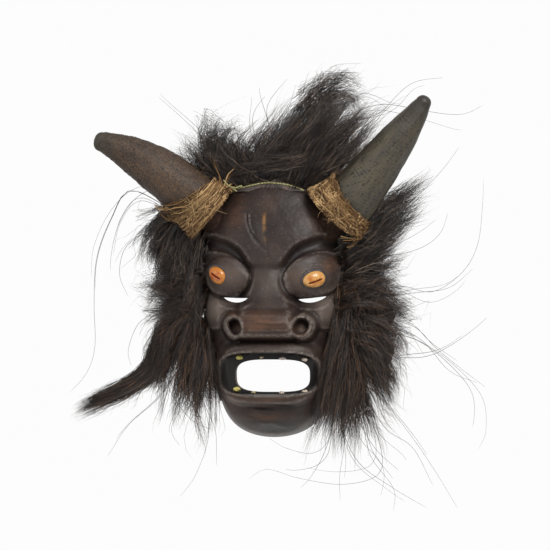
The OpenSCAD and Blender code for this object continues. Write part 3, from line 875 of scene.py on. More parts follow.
def wool(name, lumps, seed, mat, ragged=5.0):
    """A dark, lumpy core under the hairs: round lumps joined by a voxel remesh, then roughened."""
    deselect()
    made = []
    for x, y, z, rx, ry, rz, turn in lumps:
        bpy.ops.mesh.primitive_ico_sphere_add(subdivisions=3, radius=1)
        ball = bpy.context.object
        points = coords(ball) * np.array([rx, ry, rz])
        a = math.radians(turn)
        spun = np.stack([points[:, 0] * math.cos(a) - points[:, 2] * math.sin(a), points[:, 1], points[:, 0] * math.sin(a) + points[:, 2] * math.cos(a)], 1)
        set_coords(ball, (spun + np.array([x, y, z])) * MM)
        made.append(ball)
    deselect()
    for ball in made:
        ball.select_set(True)
    bpy.context.view_layer.objects.active = made[0]
    bpy.ops.object.join()
    core = bpy.context.object
    core.name = name
    remesh = core.modifiers.new("remesh", "REMESH")
    remesh.mode = "VOXEL"
    remesh.voxel_size = 0.0022
    bpy.ops.object.modifier_apply(modifier="remesh")
    at = coords(core) / MM
    mid = at.mean(0)
    out = (at - mid) / np.maximum(np.linalg.norm(at - mid, axis=1, keepdims=True), 1)
    at += out * (ragged * noise(at, 24, seed, 3) * 0.5 + 1.6 * noise(at, 5, seed + 1, 2))[:, None]
    at = lift_off_face(at, 1.2)
    set_coords(core, at * MM)
    core.data.materials.clear()
    core.data.materials.append(mat)
    set_attribute(core, "tone", np.clip(0.25 + 0.25 * noise(at, 4, seed + 2, 2), 0, 1))
    smooth(core)
    return core


# %% Crown hair
CROWN = [
    (9, [(-30, -30, 112), (-24, -38, 136), (-12, -38, 158), (2, -28, 176)], (8, 6, 3), (7, 7, 6), 4),
    (14, [(-16, -33, 112), (-4, -43, 140), (18, -43, 172), (38, -30, 202)], (9, 6, 3), (7, 7, 6), 4),
    (16, [(0, -34, 113), (16, -45, 142), (40, -43, 178), (64, -28, 210)], (9, 6, 3), (7, 8, 6), 4),
    (20, [(14, -34, 113), (34, -45, 146), (60, -42, 182), (84, -26, 206)], (9, 6, 3), (7, 8, 6), 4),
    (22, [(28, -32, 113), (52, -43, 146), (78, -39, 174), (98, -24, 192)], (8, 6, 3), (6, 8, 6), 4),
    (11, [(40, -30, 110), (66, -39, 134), (90, -32, 158), (108, -20, 176)], (7, 5, 3), (6, 7, 6), 3),
    (9, [(42, -34, 110), (58, -42, 122), (76, -38, 138), (96, -24, 156)], (5, 4, 3), (6, 6, 7), 2.5),
    (13, [(-38, -38, 118), (-10, -48, 127), (22, -50, 134), (54, -42, 142)], (9, 3, 3), (9, 5, 7), 4),
    (8, [(34, -34, 184), (58, -34, 206), (80, -30, 208), (90, -24, 192)], (10, 8, 10), (9, 8, 8), 5),
    (9, [(-20, -32, 114), (-42, -39, 132), (-62, -36, 150), (-74, -26, 166)], (8, 6, 3), (8, 8, 8), 5),
    (8, [(-28, -30, 113), (-56, -36, 126), (-80, -28, 144), (-90, -18, 162)], (7, 5, 3), (7, 7, 8), 6),
    (12, [(-26, -30, 113), (-44, -39, 132), (-54, -37, 152), (-50, -28, 168)], (9, 6, 3), (9, 6, 6), 5),
    (9, [(-20, -30, 114), (-32, -39, 138), (-36, -35, 158), (-28, -26, 168)], (8, 6, 3), (8, 6, 6), 5),
    (8, [(-34, -30, 112), (-56, -38, 128), (-72, -34, 142), (-78, -24, 150)], (7, 5, 3), (8, 6, 8), 5),
    (6, [(-40, -30, 124), (-60, -36, 148), (-52, -32, 170), (-36, -26, 160)], (8, 6, 6), (8, 7, 8), 6),
    (9, [(0, -14, 122), (10, -12, 150), (34, -12, 182), (64, -10, 204)], (26, 4, 3), (18, 5, 12), 5),
]
crown_hair = hairs("crown_hair_visual", CROWN[:8], 3800, 11, BLACK_HAIR)
crown_hair_left = hairs("crown_hair_left_visual", CROWN[8:], 2600, 20, BLACK_HAIR)
crown_wool = wool("crown_wool", [(-2, -24, 124, 38, 11, 9, 0), (22, -24, 146, 30, 10, 15, 32), (44, -20, 158, 22, 6, 11, 42), (-50, -20, 138, 17, 7, 10, -35)], 31, UNDERCOAT)

# %% Hair on the viewer's left
LEFT_UPPER = [
    (9, [(-84, -27, 60), (-98, -31, 44), (-108, -26, 28), (-112, -16, 8)], (6, 5, 7), (6, 6, 8), 3),
    (20, [(-84, -27, 84), (-94, -32, 66), (-102, -28, 44), (-106, -18, 18)], (6, 5, 6), (6, 6, 8), 3),
    (22, [(-75, -25, 74), (-83, -33, 56), (-89, -31, 34), (-92, -20, 10)], (5, 5, 7), (6, 6, 8), 3),
    (16, [(-92, -22, 86), (-107, -24, 72), (-117, -20, 52), (-121, -12, 28)], (5, 5, 5), (6, 5, 8), 4),
    (9, [(-98, -18, 84), (-112, -16, 80), (-123, -12, 68), (-130, -8, 54)], (5, 4, 5), (7, 4, 9), 4),
    (16, [(-74, -25, 46), (-81, -33, 28), (-86, -30, 10), (-90, -20, -6)], (4, 5, 8), (6, 6, 8), 4),
    (12, [(-78, -25, 30), (-92, -30, 26), (-106, -24, 16), (-118, -12, 2)], (5, 5, 9), (8, 5, 9), 5),
]
LEFT_LOWER = [
    (11, [(-76, -25, -2), (-94, -32, 6), (-112, -27, 10), (-130, -16, 14)], (4, 6, 5), (6, 6, 5), 4),
    (13, [(-76, -26, -12), (-98, -35, -10), (-116, -28, -12), (-128, -16, -14)], (4, 6, 7), (6, 6, 8), 5.5),
    (15, [(-76, -28, -20), (-96, -36, -38), (-106, -31, -66), (-110, -16, -96)], (5, 6, 8), (8, 6, 8), 4),
    (17, [(-72, -30, -28), (-82, -39, -54), (-88, -34, -84), (-92, -18, -114)], (6, 6, 9), (9, 6, 9), 3.5),
    (15, [(-68, -32, -42), (-70, -41, -70), (-73, -34, -98), (-76, -16, -124)], (5, 6, 9), (9, 6, 9), 3.5),
    (9, [(-64, -32, -50), (-61, -42, -74), (-60, -35, -98), (-63, -16, -122)], (3, 5, 8), (6, 5, 8), 3),
    (11, [(-82, -26, -8), (-104, -30, -24), (-116, -24, -46), (-118, -14, -76)], (6, 6, 6), (5, 5, 8), 4.5),
    (9, [(-70, -30, 4), (-80, -40, -8), (-88, -40, -26), (-92, -34, -44)], (4, 4, 8), (8, 4, 8), 6),
    (9, [(-70, -28, 18), (-77, -38, 6), (-84, -39, -10), (-90, -34, -28)], (3, 4, 6), (6, 4, 8), 5),
]
TAIL = [
    (46, [(-110, -22, -60), (-124, -19, -74), (-144, -15, -88), (-172, -12, -101), (-201, -9, -114)], (4.5, 4, 6), (2.2, 2, 2.4), 1.4),
    (24, [(-104, -24, -46), (-114, -22, -64), (-122, -18, -80), (-132, -12, -94)], (7, 5, 7), (5, 4, 4), 2.5),
    (3, [(-114, -20, -60), (-134, -16, -78), (-162, -12, -96), (-190, -9, -108)], (6, 5, 6), (6, 3, 6), 4),
]
hair_left_upper = hairs("hair_left_upper_visual", LEFT_UPPER, 3400, 12, BLACK_HAIR)
wool_left_upper = wool("wool_left_upper", [(-84, -19, 50, 12, 8, 24, 6), (-92, -18, 28, 12, 7, 18, 0)], 32, UNDERCOAT, 4)
hair_left_lower = hairs("hair_left_lower_visual", LEFT_LOWER, 3800, 13, BROWN_HAIR)
wool_left_lower = wool("wool_left_lower", [(-90, -20, -10, 22, 8, 13, 0), (-88, -22, -44, 20, 9, 24, 0), (-78, -20, -74, 16, 8, 16, 0)], 33, UNDERCOAT, 4)
tail_lock = hairs("tail_lock_visual", TAIL, 2200, 14, BROWN_HAIR)

# %% Hair on the viewer's right
RIGHT_UPPER = [
    (22, [(74, -22, 58), (92, -29, 70), (118, -24, 90), (152, -12, 114)], (4, 6, 6), (6, 6, 7), 3),
    (24, [(74, -24, 44), (94, -32, 56), (118, -26, 74), (146, -12, 98)], (4, 6, 7), (7, 6, 8), 3.5),
    (21, [(76, -25, 30), (94, -32, 42), (112, -26, 56), (132, -14, 74)], (4, 6, 7), (8, 6, 9), 4),
    (15, [(78, -25, 18), (94, -30, 28), (108, -24, 38), (124, -14, 50)], (4, 6, 6), (7, 6, 8), 4.5),
    (11, [(76, -26, 10), (90, -30, 14), (104, -24, 20), (120, -12, 24)], (4, 6, 4), (6, 5, 6), 4.5),
]
RIGHT_CLUMP = [
    (18, [(74, -27, -4), (92, -40, 6), (114, -36, 8), (130, -20, 0)], (5, 7, 5), (6, 7, 5), 4.5),
    (19, [(74, -29, -14), (98, -46, -9), (120, -38, -16), (135, -20, -26)], (5, 7, 7), (5, 7, 7), 5),
    (19, [(76, -29, -24), (100, -46, -30), (122, -36, -40), (134, -18, -54)], (5, 7, 8), (5, 7, 8), 5),
    (16, [(78, -29, -34), (100, -42, -52), (116, -36, -74), (122, -18, -98)], (6, 7, 8), (6, 6, 6), 4),
    (12, [(80, -29, -30), (94, -39, -56), (108, -34, -80), (116, -18, -104)], (6, 7, 8), (6, 6, 6), 4),
    (12, [(82, -32, 2), (86, -48, -20), (94, -48, -42), (104, -38, -62)], (8, 4, 7), (10, 5, 8), 6),
]
RIGHT_LOWER = [
    (15, [(74, -28, -6), (69, -43, -38), (65, -48, -70), (58, -42, -100), (47, -26, -128)], (4, 5, 7), (5, 6, 7), 2.5),
    (20, [(76, -28, -12), (76, -40, -46), (70, -44, -80), (62, -34, -110), (55, -18, -142)], (4, 6, 8), (8, 6, 9), 3.5),
    (15, [(76, -26, -24), (80, -36, -54), (80, -34, -86), (77, -24, -116), (76, -12, -146)], (4, 6, 8), (10, 6, 9), 3.5),
    (8, [(74, -26, -40), (86, -32, -70), (94, -24, -104), (100, -12, -138)], (4, 6, 8), (12, 5, 10), 4.5),
    (13, [(70, -32, -10), (65, -45, -42), (58, -53, -74), (53, -48, -102), (45, -30, -127)], (3, 4, 7), (3, 5, 6), 1.8),
]
hair_right_upper = hairs("hair_right_upper_visual", RIGHT_UPPER, 3200, 15, BLACK_HAIR)
wool_right_upper = wool("wool_right_upper", [(84, -19, 34, 11, 8, 20, 0), (94, -18, 52, 14, 7, 14, -35)], 34, UNDERCOAT, 4)
hair_right_clump = hairs("hair_right_clump_visual", RIGHT_CLUMP, 3800, 16, BROWN_HAIR)
wool_right_clump = wool("wool_right_clump", [(98, -23, -18, 24, 11, 22, 0), (104, -21, -54, 17, 9, 20, 0)], 35, UNDERCOAT, 4)
hair_right_lower = hairs("hair_right_lower_visual", RIGHT_LOWER, 3800, 17, BROWN_HAIR)
wool_right_lower = wool("wool_right_lower", [(76, -24, -46, 10, 9, 30, 0), (71, -22, -82, 11, 8, 18, 0)], 36, UNDERCOAT, 3)

# %% Long stray hairs
LEFT_STRAYS = [
    [(-92, -20, 84), (-121, -24, 110), (-146, -20, 106), (-170, -16, 82), (-184, -12, 50), (-185, -10, 18)],
    [(-96, -20, 84), (-145, -18, 108), (-166, -14, 80), (-181, -12, 40), (-184, -10, -6), (-184, -8, -50), (-194, -6, -78), (-213, -5, -98)],
    [(-94, -18, 80), (-134, -20, 96), (-156, -16, 74), (-164, -12, 44)],
    [(-90, -16, 50), (-124, -16, 66), (-150, -12, 52), (-157, -10, 22), (-148, -8, -2)],
    [(-94, -18, -70), (-117, -12, -101), (-148, -8, -130), (-173, -6, -160)],
    [(-70, -20, -106), (-66, -14, -140), (-80, -8, -180), (-97, -6, -203)],
    [(-96, -18, -60), (-106, -12, -92), (-84, -8, -124), (-60, -6, -136)],
    [(-88, -18, -80), (-96, -12, -116), (-102, -8, -140), (-96, -6, -152)],
    [(-74, -20, -96), (-80, -12, -128), (-74, -8, -146)],
    [(-104, -16, -10), (-136, -12, -24), (-150, -8, -52), (-148, -6, -70)],
    [(-40, -24, 126), (-64, -20, 152), (-92, -14, 178), (-122, -10, 203)],
    [(-34, -24, 130), (-46, -20, 160), (-72, -14, 184), (-84, -10, 190)],
    [(-10, -28, 140), (-20, -22, 176), (-8, -14, 204)],
    [(2, -28, 150), (-6, -22, 190), (12, -14, 218)],
]
RIGHT_STRAYS = [
    [(74, -24, 190), (90, -20, 204), (112, -14, 196), (130, -10, 196)],
    [(70, -24, 180), (108, -20, 192), (150, -12, 188), (190, -10, 182), (212, -8, 190)],
    [(30, -26, 180), (44, -20, 212), (60, -14, 232), (90, -10, 236)],
    [(84, -24, 176), (110, -20, 186), (136, -12, 214), (170, -10, 220)],
    [(90, -22, 62), (114, -18, 82), (140, -14, 96), (162, -10, 118), (187, -8, 151)],
    [(92, -22, 40), (126, -18, 42), (150, -12, 50), (166, -10, 64), (174, -8, 84)],
    [(100, -20, 2), (128, -16, 11), (160, -12, 5), (190, -8, 24), (206, -8, 52), (211, -6, 92), (212, -6, 120)],
    [(104, -20, 0), (140, -14, 4), (174, -10, 8), (200, -8, 30)],
    [(112, -18, -20), (142, -14, -30), (162, -12, -50), (190, -8, -73), (212, -6, -90)],
    [(114, -18, -30), (146, -14, -42), (176, -10, -74), (208, -6, -86)],
    [(110, -18, -34), (146, -12, -44), (180, -8, -68), (208, -6, -100), (212, -6, -134), (204, -5, -154)],
    [(116, -18, -60), (150, -12, -60), (178, -8, -48), (212, -6, -20)],
    [(92, -18, -70), (112, -14, -104), (136, -10, -136), (156, -8, -166), (184, -6, -213)],
    [(80, -18, -90), (90, -14, -128), (98, -10, -160), (119, -8, -190), (118, -6, -213)],
    [(64, -20, -120), (84, -12, -164), (117, -8, -190), (154, -6, -212)],
    [(64, -20, -112), (52, -12, -156), (38, -8, -178), (26, -6, -192)],
    [(70, -18, -110), (70, -12, -150), (66, -8, -180), (64, -6, -204)],
    [(60, -20, -116), (54, -12, -146), (38, -8, -158), (14, -6, -153), (-6, -6, -142)],
    [(84, -18, -100), (104, -12, -140), (106, -8, -176), (70, -6, -188), (24, -6, -182), (-10, -6, -173), (-30, -5, -184)],
    [(88, -18, -90), (112, -12, -130), (140, -8, -150), (160, -6, -190)],
    [(76, -18, -104), (88, -12, -144), (110, -8, -172), (108, -6, -200)],
]
strays_left = strays("hair_strays_left", LEFT_STRAYS, BLACK_HAIR, 18)
strays_right = strays("hair_strays_right", RIGHT_STRAYS, BLACK_HAIR, 19)

HAIR_PIECES = [
    (crown_hair, crown_wool, ["crown_hair"]), (hair_left_upper, wool_left_upper, ["hair_left_upper"]),
    (hair_left_lower, wool_left_lower, ["hair_left_lower"]), (tail_lock, None, ["tail_lock_left"]),
    (hair_right_upper, wool_right_upper, ["hair_right_upper"]), (hair_right_clump, wool_right_clump, ["hair_right_clump"]),
    (hair_right_lower, wool_right_lower, ["hair_right_lower"]), (crown_hair_left, None, []), (strays_left, None, []), (strays_right, None, []),
]
for strands, core, nodes in HAIR_PIECES:
    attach(strands, "root")
    if nodes:
        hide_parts(*nodes)
    if core:
        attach(core, "root")
    print(strands.name, len(strands.data.polygons), "faces")

# %% [markdown]
# ## Horns
# Each horn is swept along the same bent line as the CAD's, with a ring every millimetre. The left one is
# brown and worm-pitted, the right one smooth and grey. Points keep straightened coordinates, so fibres in
# the material run along the horn.

# %% Horn tools
HORNS = {
    "left": dict(path=[[-56, -35, 77], [-117, -50, 142], [-174, -66, 156]], shares=[0.05, 0.25, 0.5, 0.7, 0.85, 0.94, 1.0], radii=[27.0, 26.4, 22.5, 17.5, 12.3, 9.2, 7.0]),
    "right": dict(path=[[60, -35, 73], [112, -46, 131], [157, -66, 196]], shares=[0.05, 0.25, 0.5, 0.7, 0.85, 0.94, 1.0], radii=[27.2, 25.9, 21.8, 17.0, 12.0, 8.4, 5.6]),
}


def horn_frame(side, s):
    """Place, heading and two cross directions (the second one toward the viewer) at shares s."""
    p0, p1, p2 = np.array(HORNS[side]["path"], float)
    s = np.asarray(s, float)[..., None]
    place = (1 - s) ** 2 * p0 + 2 * s * (1 - s) * p1 + s**2 * p2
    t = 2 * (1 - s) * (p1 - p0) + 2 * s * (p2 - p1)
    t = t / np.linalg.norm(t, axis=-1, keepdims=True)
    u = np.cross(t, [0, 1, 0])
    u = u / np.linalg.norm(u, axis=-1, keepdims=True)
    return place, t, u, np.cross(t, u)


def horn_radius(side, s):
    shares, radii = HORNS[side]["shares"], HORNS[side]["radii"]
    ways = np.linspace(-0.03, 0.03, 7)
    return sum(np.interp(np.asarray(s) + w, shares, radii) for w in ways) / len(ways)


def horn_length(side):
    p0, p1, p2 = np.array(HORNS[side]["path"], float)
    return 2 * np.linalg.norm(p1 - p0)


def horn_skin(side, seed, pits, mat):
    body = np.linspace(0.07, 0.955, 150)
    cap = np.linspace(0, 1, 16)[1:] * np.pi / 2
    s = np.concatenate([body, 0.955 + 0.045 * np.sin(cap)])
    r = np.concatenate([horn_radius(side, body), horn_radius(side, 0.955) * np.cos(cap) ** 0.8])[:-1]
    s, sides = s[:-1], 84
    a = np.arange(sides) * 2 * np.pi / sides
    place, t, u, v = horn_frame(side, s)
    out = np.cos(a)[None, :, None] * u[:, None] + np.sin(a)[None, :, None] * v[:, None]
    flat = np.stack([np.cos(a)[None] * r[:, None], np.sin(a)[None] * r[:, None], (s * horn_length(side))[:, None] + 0 * a[None]], -1)
    swell = 0.9 * noise(flat * [1, 1, 0.4], 34, seed, 2) + 0.35 * noise(flat * [1, 1, 0.5], 9, seed + 1, 2)
    scars = noise(flat, 3.0, seed + 2, 3)
    swell -= pits * (np.clip(scars - 0.25, 0, 1) ** 0.7) * (0.5 + 0.5 * noise(flat, 22, seed + 3, 1))
    swell += 0.3 * pits * noise(flat * [1, 1, 1.4], 1.7, seed + 4, 2) * ease(0.45, 0.75, s)[:, None]
    swell *= ease(1.0, 0.95, s)[:, None] * 0.75 + 0.25
    rings = place[:, None] + out * np.maximum(r[:, None] + swell, 0.3)[..., None]
    inner = place[:1, None] + out[:1] * (r[0] - 6) + t[:1, None] * 0.4
    deep = place[:1, None] + out[:1] * (r[0] - 8) + t[:1, None] * 9
    verts = np.concatenate([deep.reshape(-1, 3), inner.reshape(-1, 3), rings.reshape(-1, 3), place[-1:] + t[-1:] * 0.3, place[:1] + t[:1] * 9])
    n = len(s) + 2
    faces = [[k * sides + i, k * sides + (i + 1) % sides, (k + 1) * sides + (i + 1) % sides, (k + 1) * sides + i] for k in range(n - 1) for i in range(sides)]
    top, low = n * sides, n * sides + 1
    faces += [[(n - 1) * sides + i, (n - 1) * sides + (i + 1) % sides, top] for i in range(sides)]
    faces += [[(i + 1) % sides, i, low] for i in range(sides)]
    horn = mesh_piece("horn_%s_visual" % side, verts, faces, mat)
    straight = np.concatenate([flat[:1].reshape(-1, 3), flat[:1].reshape(-1, 3), flat.reshape(-1, 3), [[0, 0, s[-1] * horn_length(side)]], [[0, 0, 0]]])
    held = horn.data.attributes.new("fibre", "FLOAT_VECTOR", "POINT")
    held.data.foreach_set("vector", (straight * MM).ravel())
    spots = np.concatenate([np.zeros(2 * sides), np.clip(scars, 0, 1).ravel(), [0, 0]])
    set_attribute(horn, "pits", spots)
    set_attribute(horn, "share", np.concatenate([np.zeros(2 * sides), np.repeat(s, sides), [1, 0]]))
    fix_normals(horn)
    smooth(horn, 50)
    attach(horn, "root")
    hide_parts("horn_%s" % side)
    return horn


def fix_normals(obj):
    pick(obj)
    bpy.ops.object.mode_set(mode="EDIT")
    bpy.ops.mesh.select_all(action="SELECT")
    bpy.ops.mesh.normals_make_consistent(inside=False)
    bpy.ops.object.mode_set(mode="OBJECT")


# %% Horn materials
def horn_material(name, tones, spot, tip, worm, roughness):
    """Old keratin: matt, mottled, streaked along its length, with a darker tip."""
    mat, shader = material(name, Roughness=roughness, Specular_IOR_Level=0.35)
    fibre = node(mat, "Attribute", attribute_name="fibre")
    pits = node(mat, "Attribute", attribute_name="pits")
    share = node(mat, "Attribute", attribute_name="share")
    long_ = node(mat, "Mapping", {"Vector": (fibre, "Vector")}, Scale=(1, 1, 0.2))
    broad = node(mat, "TexNoise", {"Vector": (long_, "Vector")}, Scale=70.0, Detail=5.0, Roughness=0.6)
    streak = node(mat, "TexNoise", {"Vector": (long_, "Vector")}, Scale=420.0, Detail=4.0, Roughness=0.65)
    bent = mix(mat, 0.006, (fibre, "Vector"), (node(mat, "TexNoise", {"Vector": (fibre, "Vector")}, Scale=220.0, Detail=3.0), "Color"), "LINEAR_LIGHT")
    worms = node(mat, "TexVoronoi", {"Vector": bent}, feature="DISTANCE_TO_EDGE", Scale=max(worm, 1.0))
    fine = node(mat, "TexNoise", {"Vector": (fibre, "Vector")}, Scale=900.0, Detail=5.0, Roughness=0.7)
    base = ramp(mat, broad, "Fac", [(0.30, colour(tones[0])), (0.50, colour(tones[1])), (0.70, colour(tones[2]))])
    shade = mix(mat, (ramp(mat, streak, "Fac", [(0.35, 0.0), (0.7, 0.55)]), "Color"), (base, "Color"), colour(tones[0]))
    speck = mix(mat, (ramp(mat, fine, "Fac", [(0.52, 0.0), (0.66, 0.5)]), "Color"), shade, colour(tones[3]))
    dark = mix(mat, (ramp(mat, worms, "Distance", [(0.0, 0.8 if worm else 0.0), (0.12, 0.0)]), "Color"), speck, colour(spot))
    dark = mix(mat, (ramp(mat, pits, "Fac", [(0.2, 0.0), (0.7, 0.9)]), "Color"), dark, colour(spot))
    ends = mix(mat, (ramp(mat, share, "Fac", [(0.80, 0.0), (0.97, 0.85)]), "Color"), dark, colour(tip))
    join(mat, ends[0], ends[1], shader, "Base Color")
    height = mix(mat, 0.45, (fine, "Fac"), (worms, "Distance"))
    bump_node = node(mat, "Bump", {"Height": height}, Strength=0.55, Distance=0.0008)
    join(mat, bump_node, "Normal", shader, "Normal")
    return mat


BROWN_HORN = horn_material("weathered brown horn", ["#1e140d", "#38281a", "#4c3722", "#64492a"], "#0e0906", "#2a261c", 260.0, 0.62)
GREY_HORN = horn_material("smooth grey horn", ["#1e1a14", "#322c22", "#423b2c", "#4f4736"], "#15110c", "#18130e", 0.0, 0.48)
horn_left = horn_skin("left", 41, 1.1, BROWN_HORN)
horn_right = horn_skin("right", 47, 0.25, GREY_HORN)
print("horns", len(horn_left.data.polygons), len(horn_right.data.polygons))

# %% [markdown]
# ## Jute bindings
# Old sacking wound once round each horn and frayed to loose yarn. A thin cloth sleeve carries the yarns:
# they follow the horn in two numbers, the angle round it and the millimetres along it.

# %% Jute material
def jute_material(name, dark, mid, pale):
    mat, shader = material(name, Roughness=0.85, Specular_IOR_Level=0.2)
    tone = node(mat, "Attribute", attribute_name="tone")
    place = node(mat, "TexCoord")
    lint = node(mat, "TexNoise", {"Vector": (place, "Object")}, Scale=900.0, Detail=4.0, Roughness=0.7)
    base = ramp(mat, tone, "Fac", [(0.0, colour(dark)), (0.5, colour(mid)), (1.0, colour(pale))])
    shade = mix(mat, (ramp(mat, lint, "Fac", [(0.35, 0.55), (0.65, 0.0)]), "Color"), (base, "Color"), colour(dark))
    join(mat, shade[0], shade[1], shader, "Base Color")
    bump_node = node(mat, "Bump", {"Height": (lint, "Fac")}, Strength=0.5, Distance=0.0003)
    join(mat, bump_node, "Normal", shader, "Normal")
    return mat


JUTE = jute_material("frayed jute yarn", "#281b10", "#6d4f2f", "#b8996c")
# the sleeve under the yarns is coloured darker than the yarn: painted shade in the gaps between the yarns
SACKING = jute_material("jute sacking", "#1d130a", "#3c2b18", "#584126")
TWINE = jute_material("pale green hemp twine", "#4c4a30", "#84805a", "#b4b07c")

# %% Jute tools
def on_horn(side, angle, along_mm, lift):
    """Places at an angle (degrees), millimetres from the start of the horn and a height off its skin."""
    s = np.asarray(along_mm) / horn_length(side)
    place, _, u, v = horn_frame(side, s)
    a = np.radians(angle)[..., None]
    r = (horn_radius(side, s) + lift)[..., None]
    return place + r * (np.cos(a) * u + np.sin(a) * v)


# where the binding starts and stops along the horn, against the angle round it
EDGES = {
    "left": dict(angle=[-90, 0, 60, 120, 180, 270], near=[2, 3, 4, 7, 12, 5], far=[36, 43, 38, 32, 32, 36]),
    "right": dict(angle=[-90, 0, 60, 120, 180, 270], near=[8, 13, 8, 7, 9, 9], far=[31, 42, 35, 28, 26, 30]),
}


def edge(side, which, angle):
    turn = (np.asarray(angle, float) + 90) % 360 - 90
    return np.interp(turn, EDGES[side]["angle"], EDGES[side][which])


def flare(side, angle, q):
    """The cloth stands off the horn at its inner edge, most on the upper side."""
    upper = 180 if side == "left" else 8
    off = np.abs((np.asarray(angle, float) - upper + 180) % 360 - 180)
    return (4.5 if side == "left" else 9) * ease(75, 10, off) * (1 - np.clip(q, 0, 1)) ** 1.5


def on_wrap(side, angle, q, lift):
    near, far = edge(side, "near", angle), edge(side, "far", angle)
    at = on_horn(side, angle, near + (far - near) * q, lift + flare(side, angle, q))
    return lift_off_face(at, 1.4)


def sleeve(side, seed):
    sides, rings = 110, 26
    angle = np.arange(sides) * 360 / sides
    q = np.linspace(0.0, 0.97, rings)
    gq, ga = np.meshgrid(q, angle, indexing="ij")
    ragged = 0.06 * noise(np.stack([ga / 4, ga * 0, ga * 0], -1), 6, seed, 2)
    outer = on_wrap(side, ga, gq + ragged * ease(0.6, 1, gq), 2.2 + 0.35 * noise(np.stack([ga, gq * 60, 0 * ga], -1), 9, seed + 1, 2))
    inner = on_wrap(side, ga, gq + ragged * ease(0.6, 1, gq), 1.0 + 0 * ga)
    both = np.concatenate([outer, inner[::-1]])
    n = len(both)
    faces = [[k * sides + i, k * sides + (i + 1) % sides, ((k + 1) % n) * sides + (i + 1) % sides, ((k + 1) % n) * sides + i] for k in range(n) for i in range(sides)]
    # the darker sleeve is painted shade between the yarns
    cloth = mesh_piece("jute_cloth_%s" % side, both.reshape(-1, 3), faces, SACKING)
    fix_normals(cloth)
    set_attribute(cloth, "tone", np.clip(0.5 + 0.5 * noise(both.reshape(-1, 3), 4, seed + 2, 2), 0, 1))
    smooth(cloth)
    return cloth


def yarn_paths(r, side, number, angles, reach, q, drift, wave, lift, rings=34):
    """Yarns that run round the horn from an angle for so many degrees, with drift across the band."""
    t = np.linspace(0, 1, rings)[None]
    a0, span = r.uniform(*angles, (number, 1)), r.uniform(*reach, (number, 1))
    q0 = r.uniform(*q, (number, 1))
    q1 = q0 + r.normal(size=(number, 1)) * drift
    angle = a0 + span * t
    turns = r.uniform(1, 3.5, (number, 1))
    across = q0 * (1 - t) + np.clip(q1, 0.02, 1.08) * t + wave * np.sin(2 * np.pi * turns * t + r.uniform(0, 6.28, (number, 1)))
    height = r.uniform(*lift, (number, 1)) + 0.5 * np.sin(2 * np.pi * turns * 1.7 * t + r.uniform(0, 6.28, (number, 1)))
    return on_wrap(side, angle, np.clip(across, 0.01, 1.12), np.maximum(height, 2.2))


def loose_paths(r, starts, ends, number, spread, wave, rings=34):
    """Free yarns from around one smooth line: starts and ends are how much they scatter."""
    t = np.linspace(0, 1, rings)[None, :, None]
    line = spline(spread, rings)[None]
    path = line + r.normal(size=(number, 1, 3)) * starts * (1 - t) + r.normal(size=(number, 1, 3)) * ends * t
    for k in (1, 2):
        path = path + wave / k * r.normal(size=(number, 1, 3)) * np.sin(2 * np.pi * r.uniform(0.4, 1.2, (number, 1, 1)) * k * t) * t**0.6
    return path


def yarns(name, groups, radius, seed, mat=None, tone=(0.0, 1.0)):
    r = rng(seed)
    paths = np.concatenate(groups)
    thick = r.uniform(*radius, (len(paths), 1)) * (1 - 0.35 * np.linspace(0, 1, paths.shape[1])[None] ** 4)
    return tubes(name, paths, thick, 5, mat or JUTE, r.uniform(*tone, len(paths)), point=False)


# %% Left binding
def at_left(angle, along, lift):
    return on_horn("left", np.array([float(angle)]), np.array([float(along)]), float(lift))[0]


def at_right(angle, along, lift):
    return on_horn("right", np.array([float(angle)]), np.array([float(along)]), float(lift))[0]


r = rng(61)
left_groups = [
    yarn_paths(r, "left", 150, (170, 200), (-215, -150), (0.10, 0.98), 0.10, 0.02, (2.2, 4.2)),
    yarn_paths(r, "left", 60, (20, 330), (60, 150), (0.05, 1.0), 0.10, 0.03, (2.2, 3.6)),
    yarn_paths(r, "left", 90, (15, 175), (-26, 26), (0.05, 0.95), 0.22, 0.03, (2.4, 4.4)),
]
for a0, a1, n in ((70, 50, 9), (45, 54, 10), (25, 52, 9), (88, 46, 7)):
    tip = at_left(a0 - 38, a1 + 3, 6)
    left_groups.append(loose_paths(r, 2.0, 3.0, n, [at_left(a0 + 40, 32, 4), at_left(a0 + 5, 36, 5), at_left(a0 - 22, a1 - 4, 6), tip], 1.2))
jute_left = yarns("jute_yarn_left", left_groups, (0.32, 0.62), 62)
tuft = [
    loose_paths(r, 2.5, 2.5, 16, [at_left(150, 14, 5), at_left(172, 12, 8), at_left(200, 16, 8), at_left(225, 24, 5)], 2.2),
    loose_paths(r, 1.5, 2.0, 3, [(-48, -52, 110), (-50, -50, 120), (-54, -48, 128), (-58, -46, 138)], 1.0),
    loose_paths(r, 1.5, 2.0, 3, [(-46, -52, 110), (-43, -50, 118), (-38, -50, 124), (-36, -48, 128)], 1.0),
]
jute_tuft = yarns("jute_tuft_left", tuft, (0.35, 0.6), 63)
fuzz = [loose_paths(r, 8.0, 8.0, 60, [at_left(95, 26, 4), at_left(88, 27, 7), at_left(80, 28, 9)], 2.5, 8)]
fuzz_left = yarns("jute_fuzz_left", fuzz, (0.10, 0.18), 64, tone=(0.4, 1.0))
cloth_left = sleeve("left", 65)

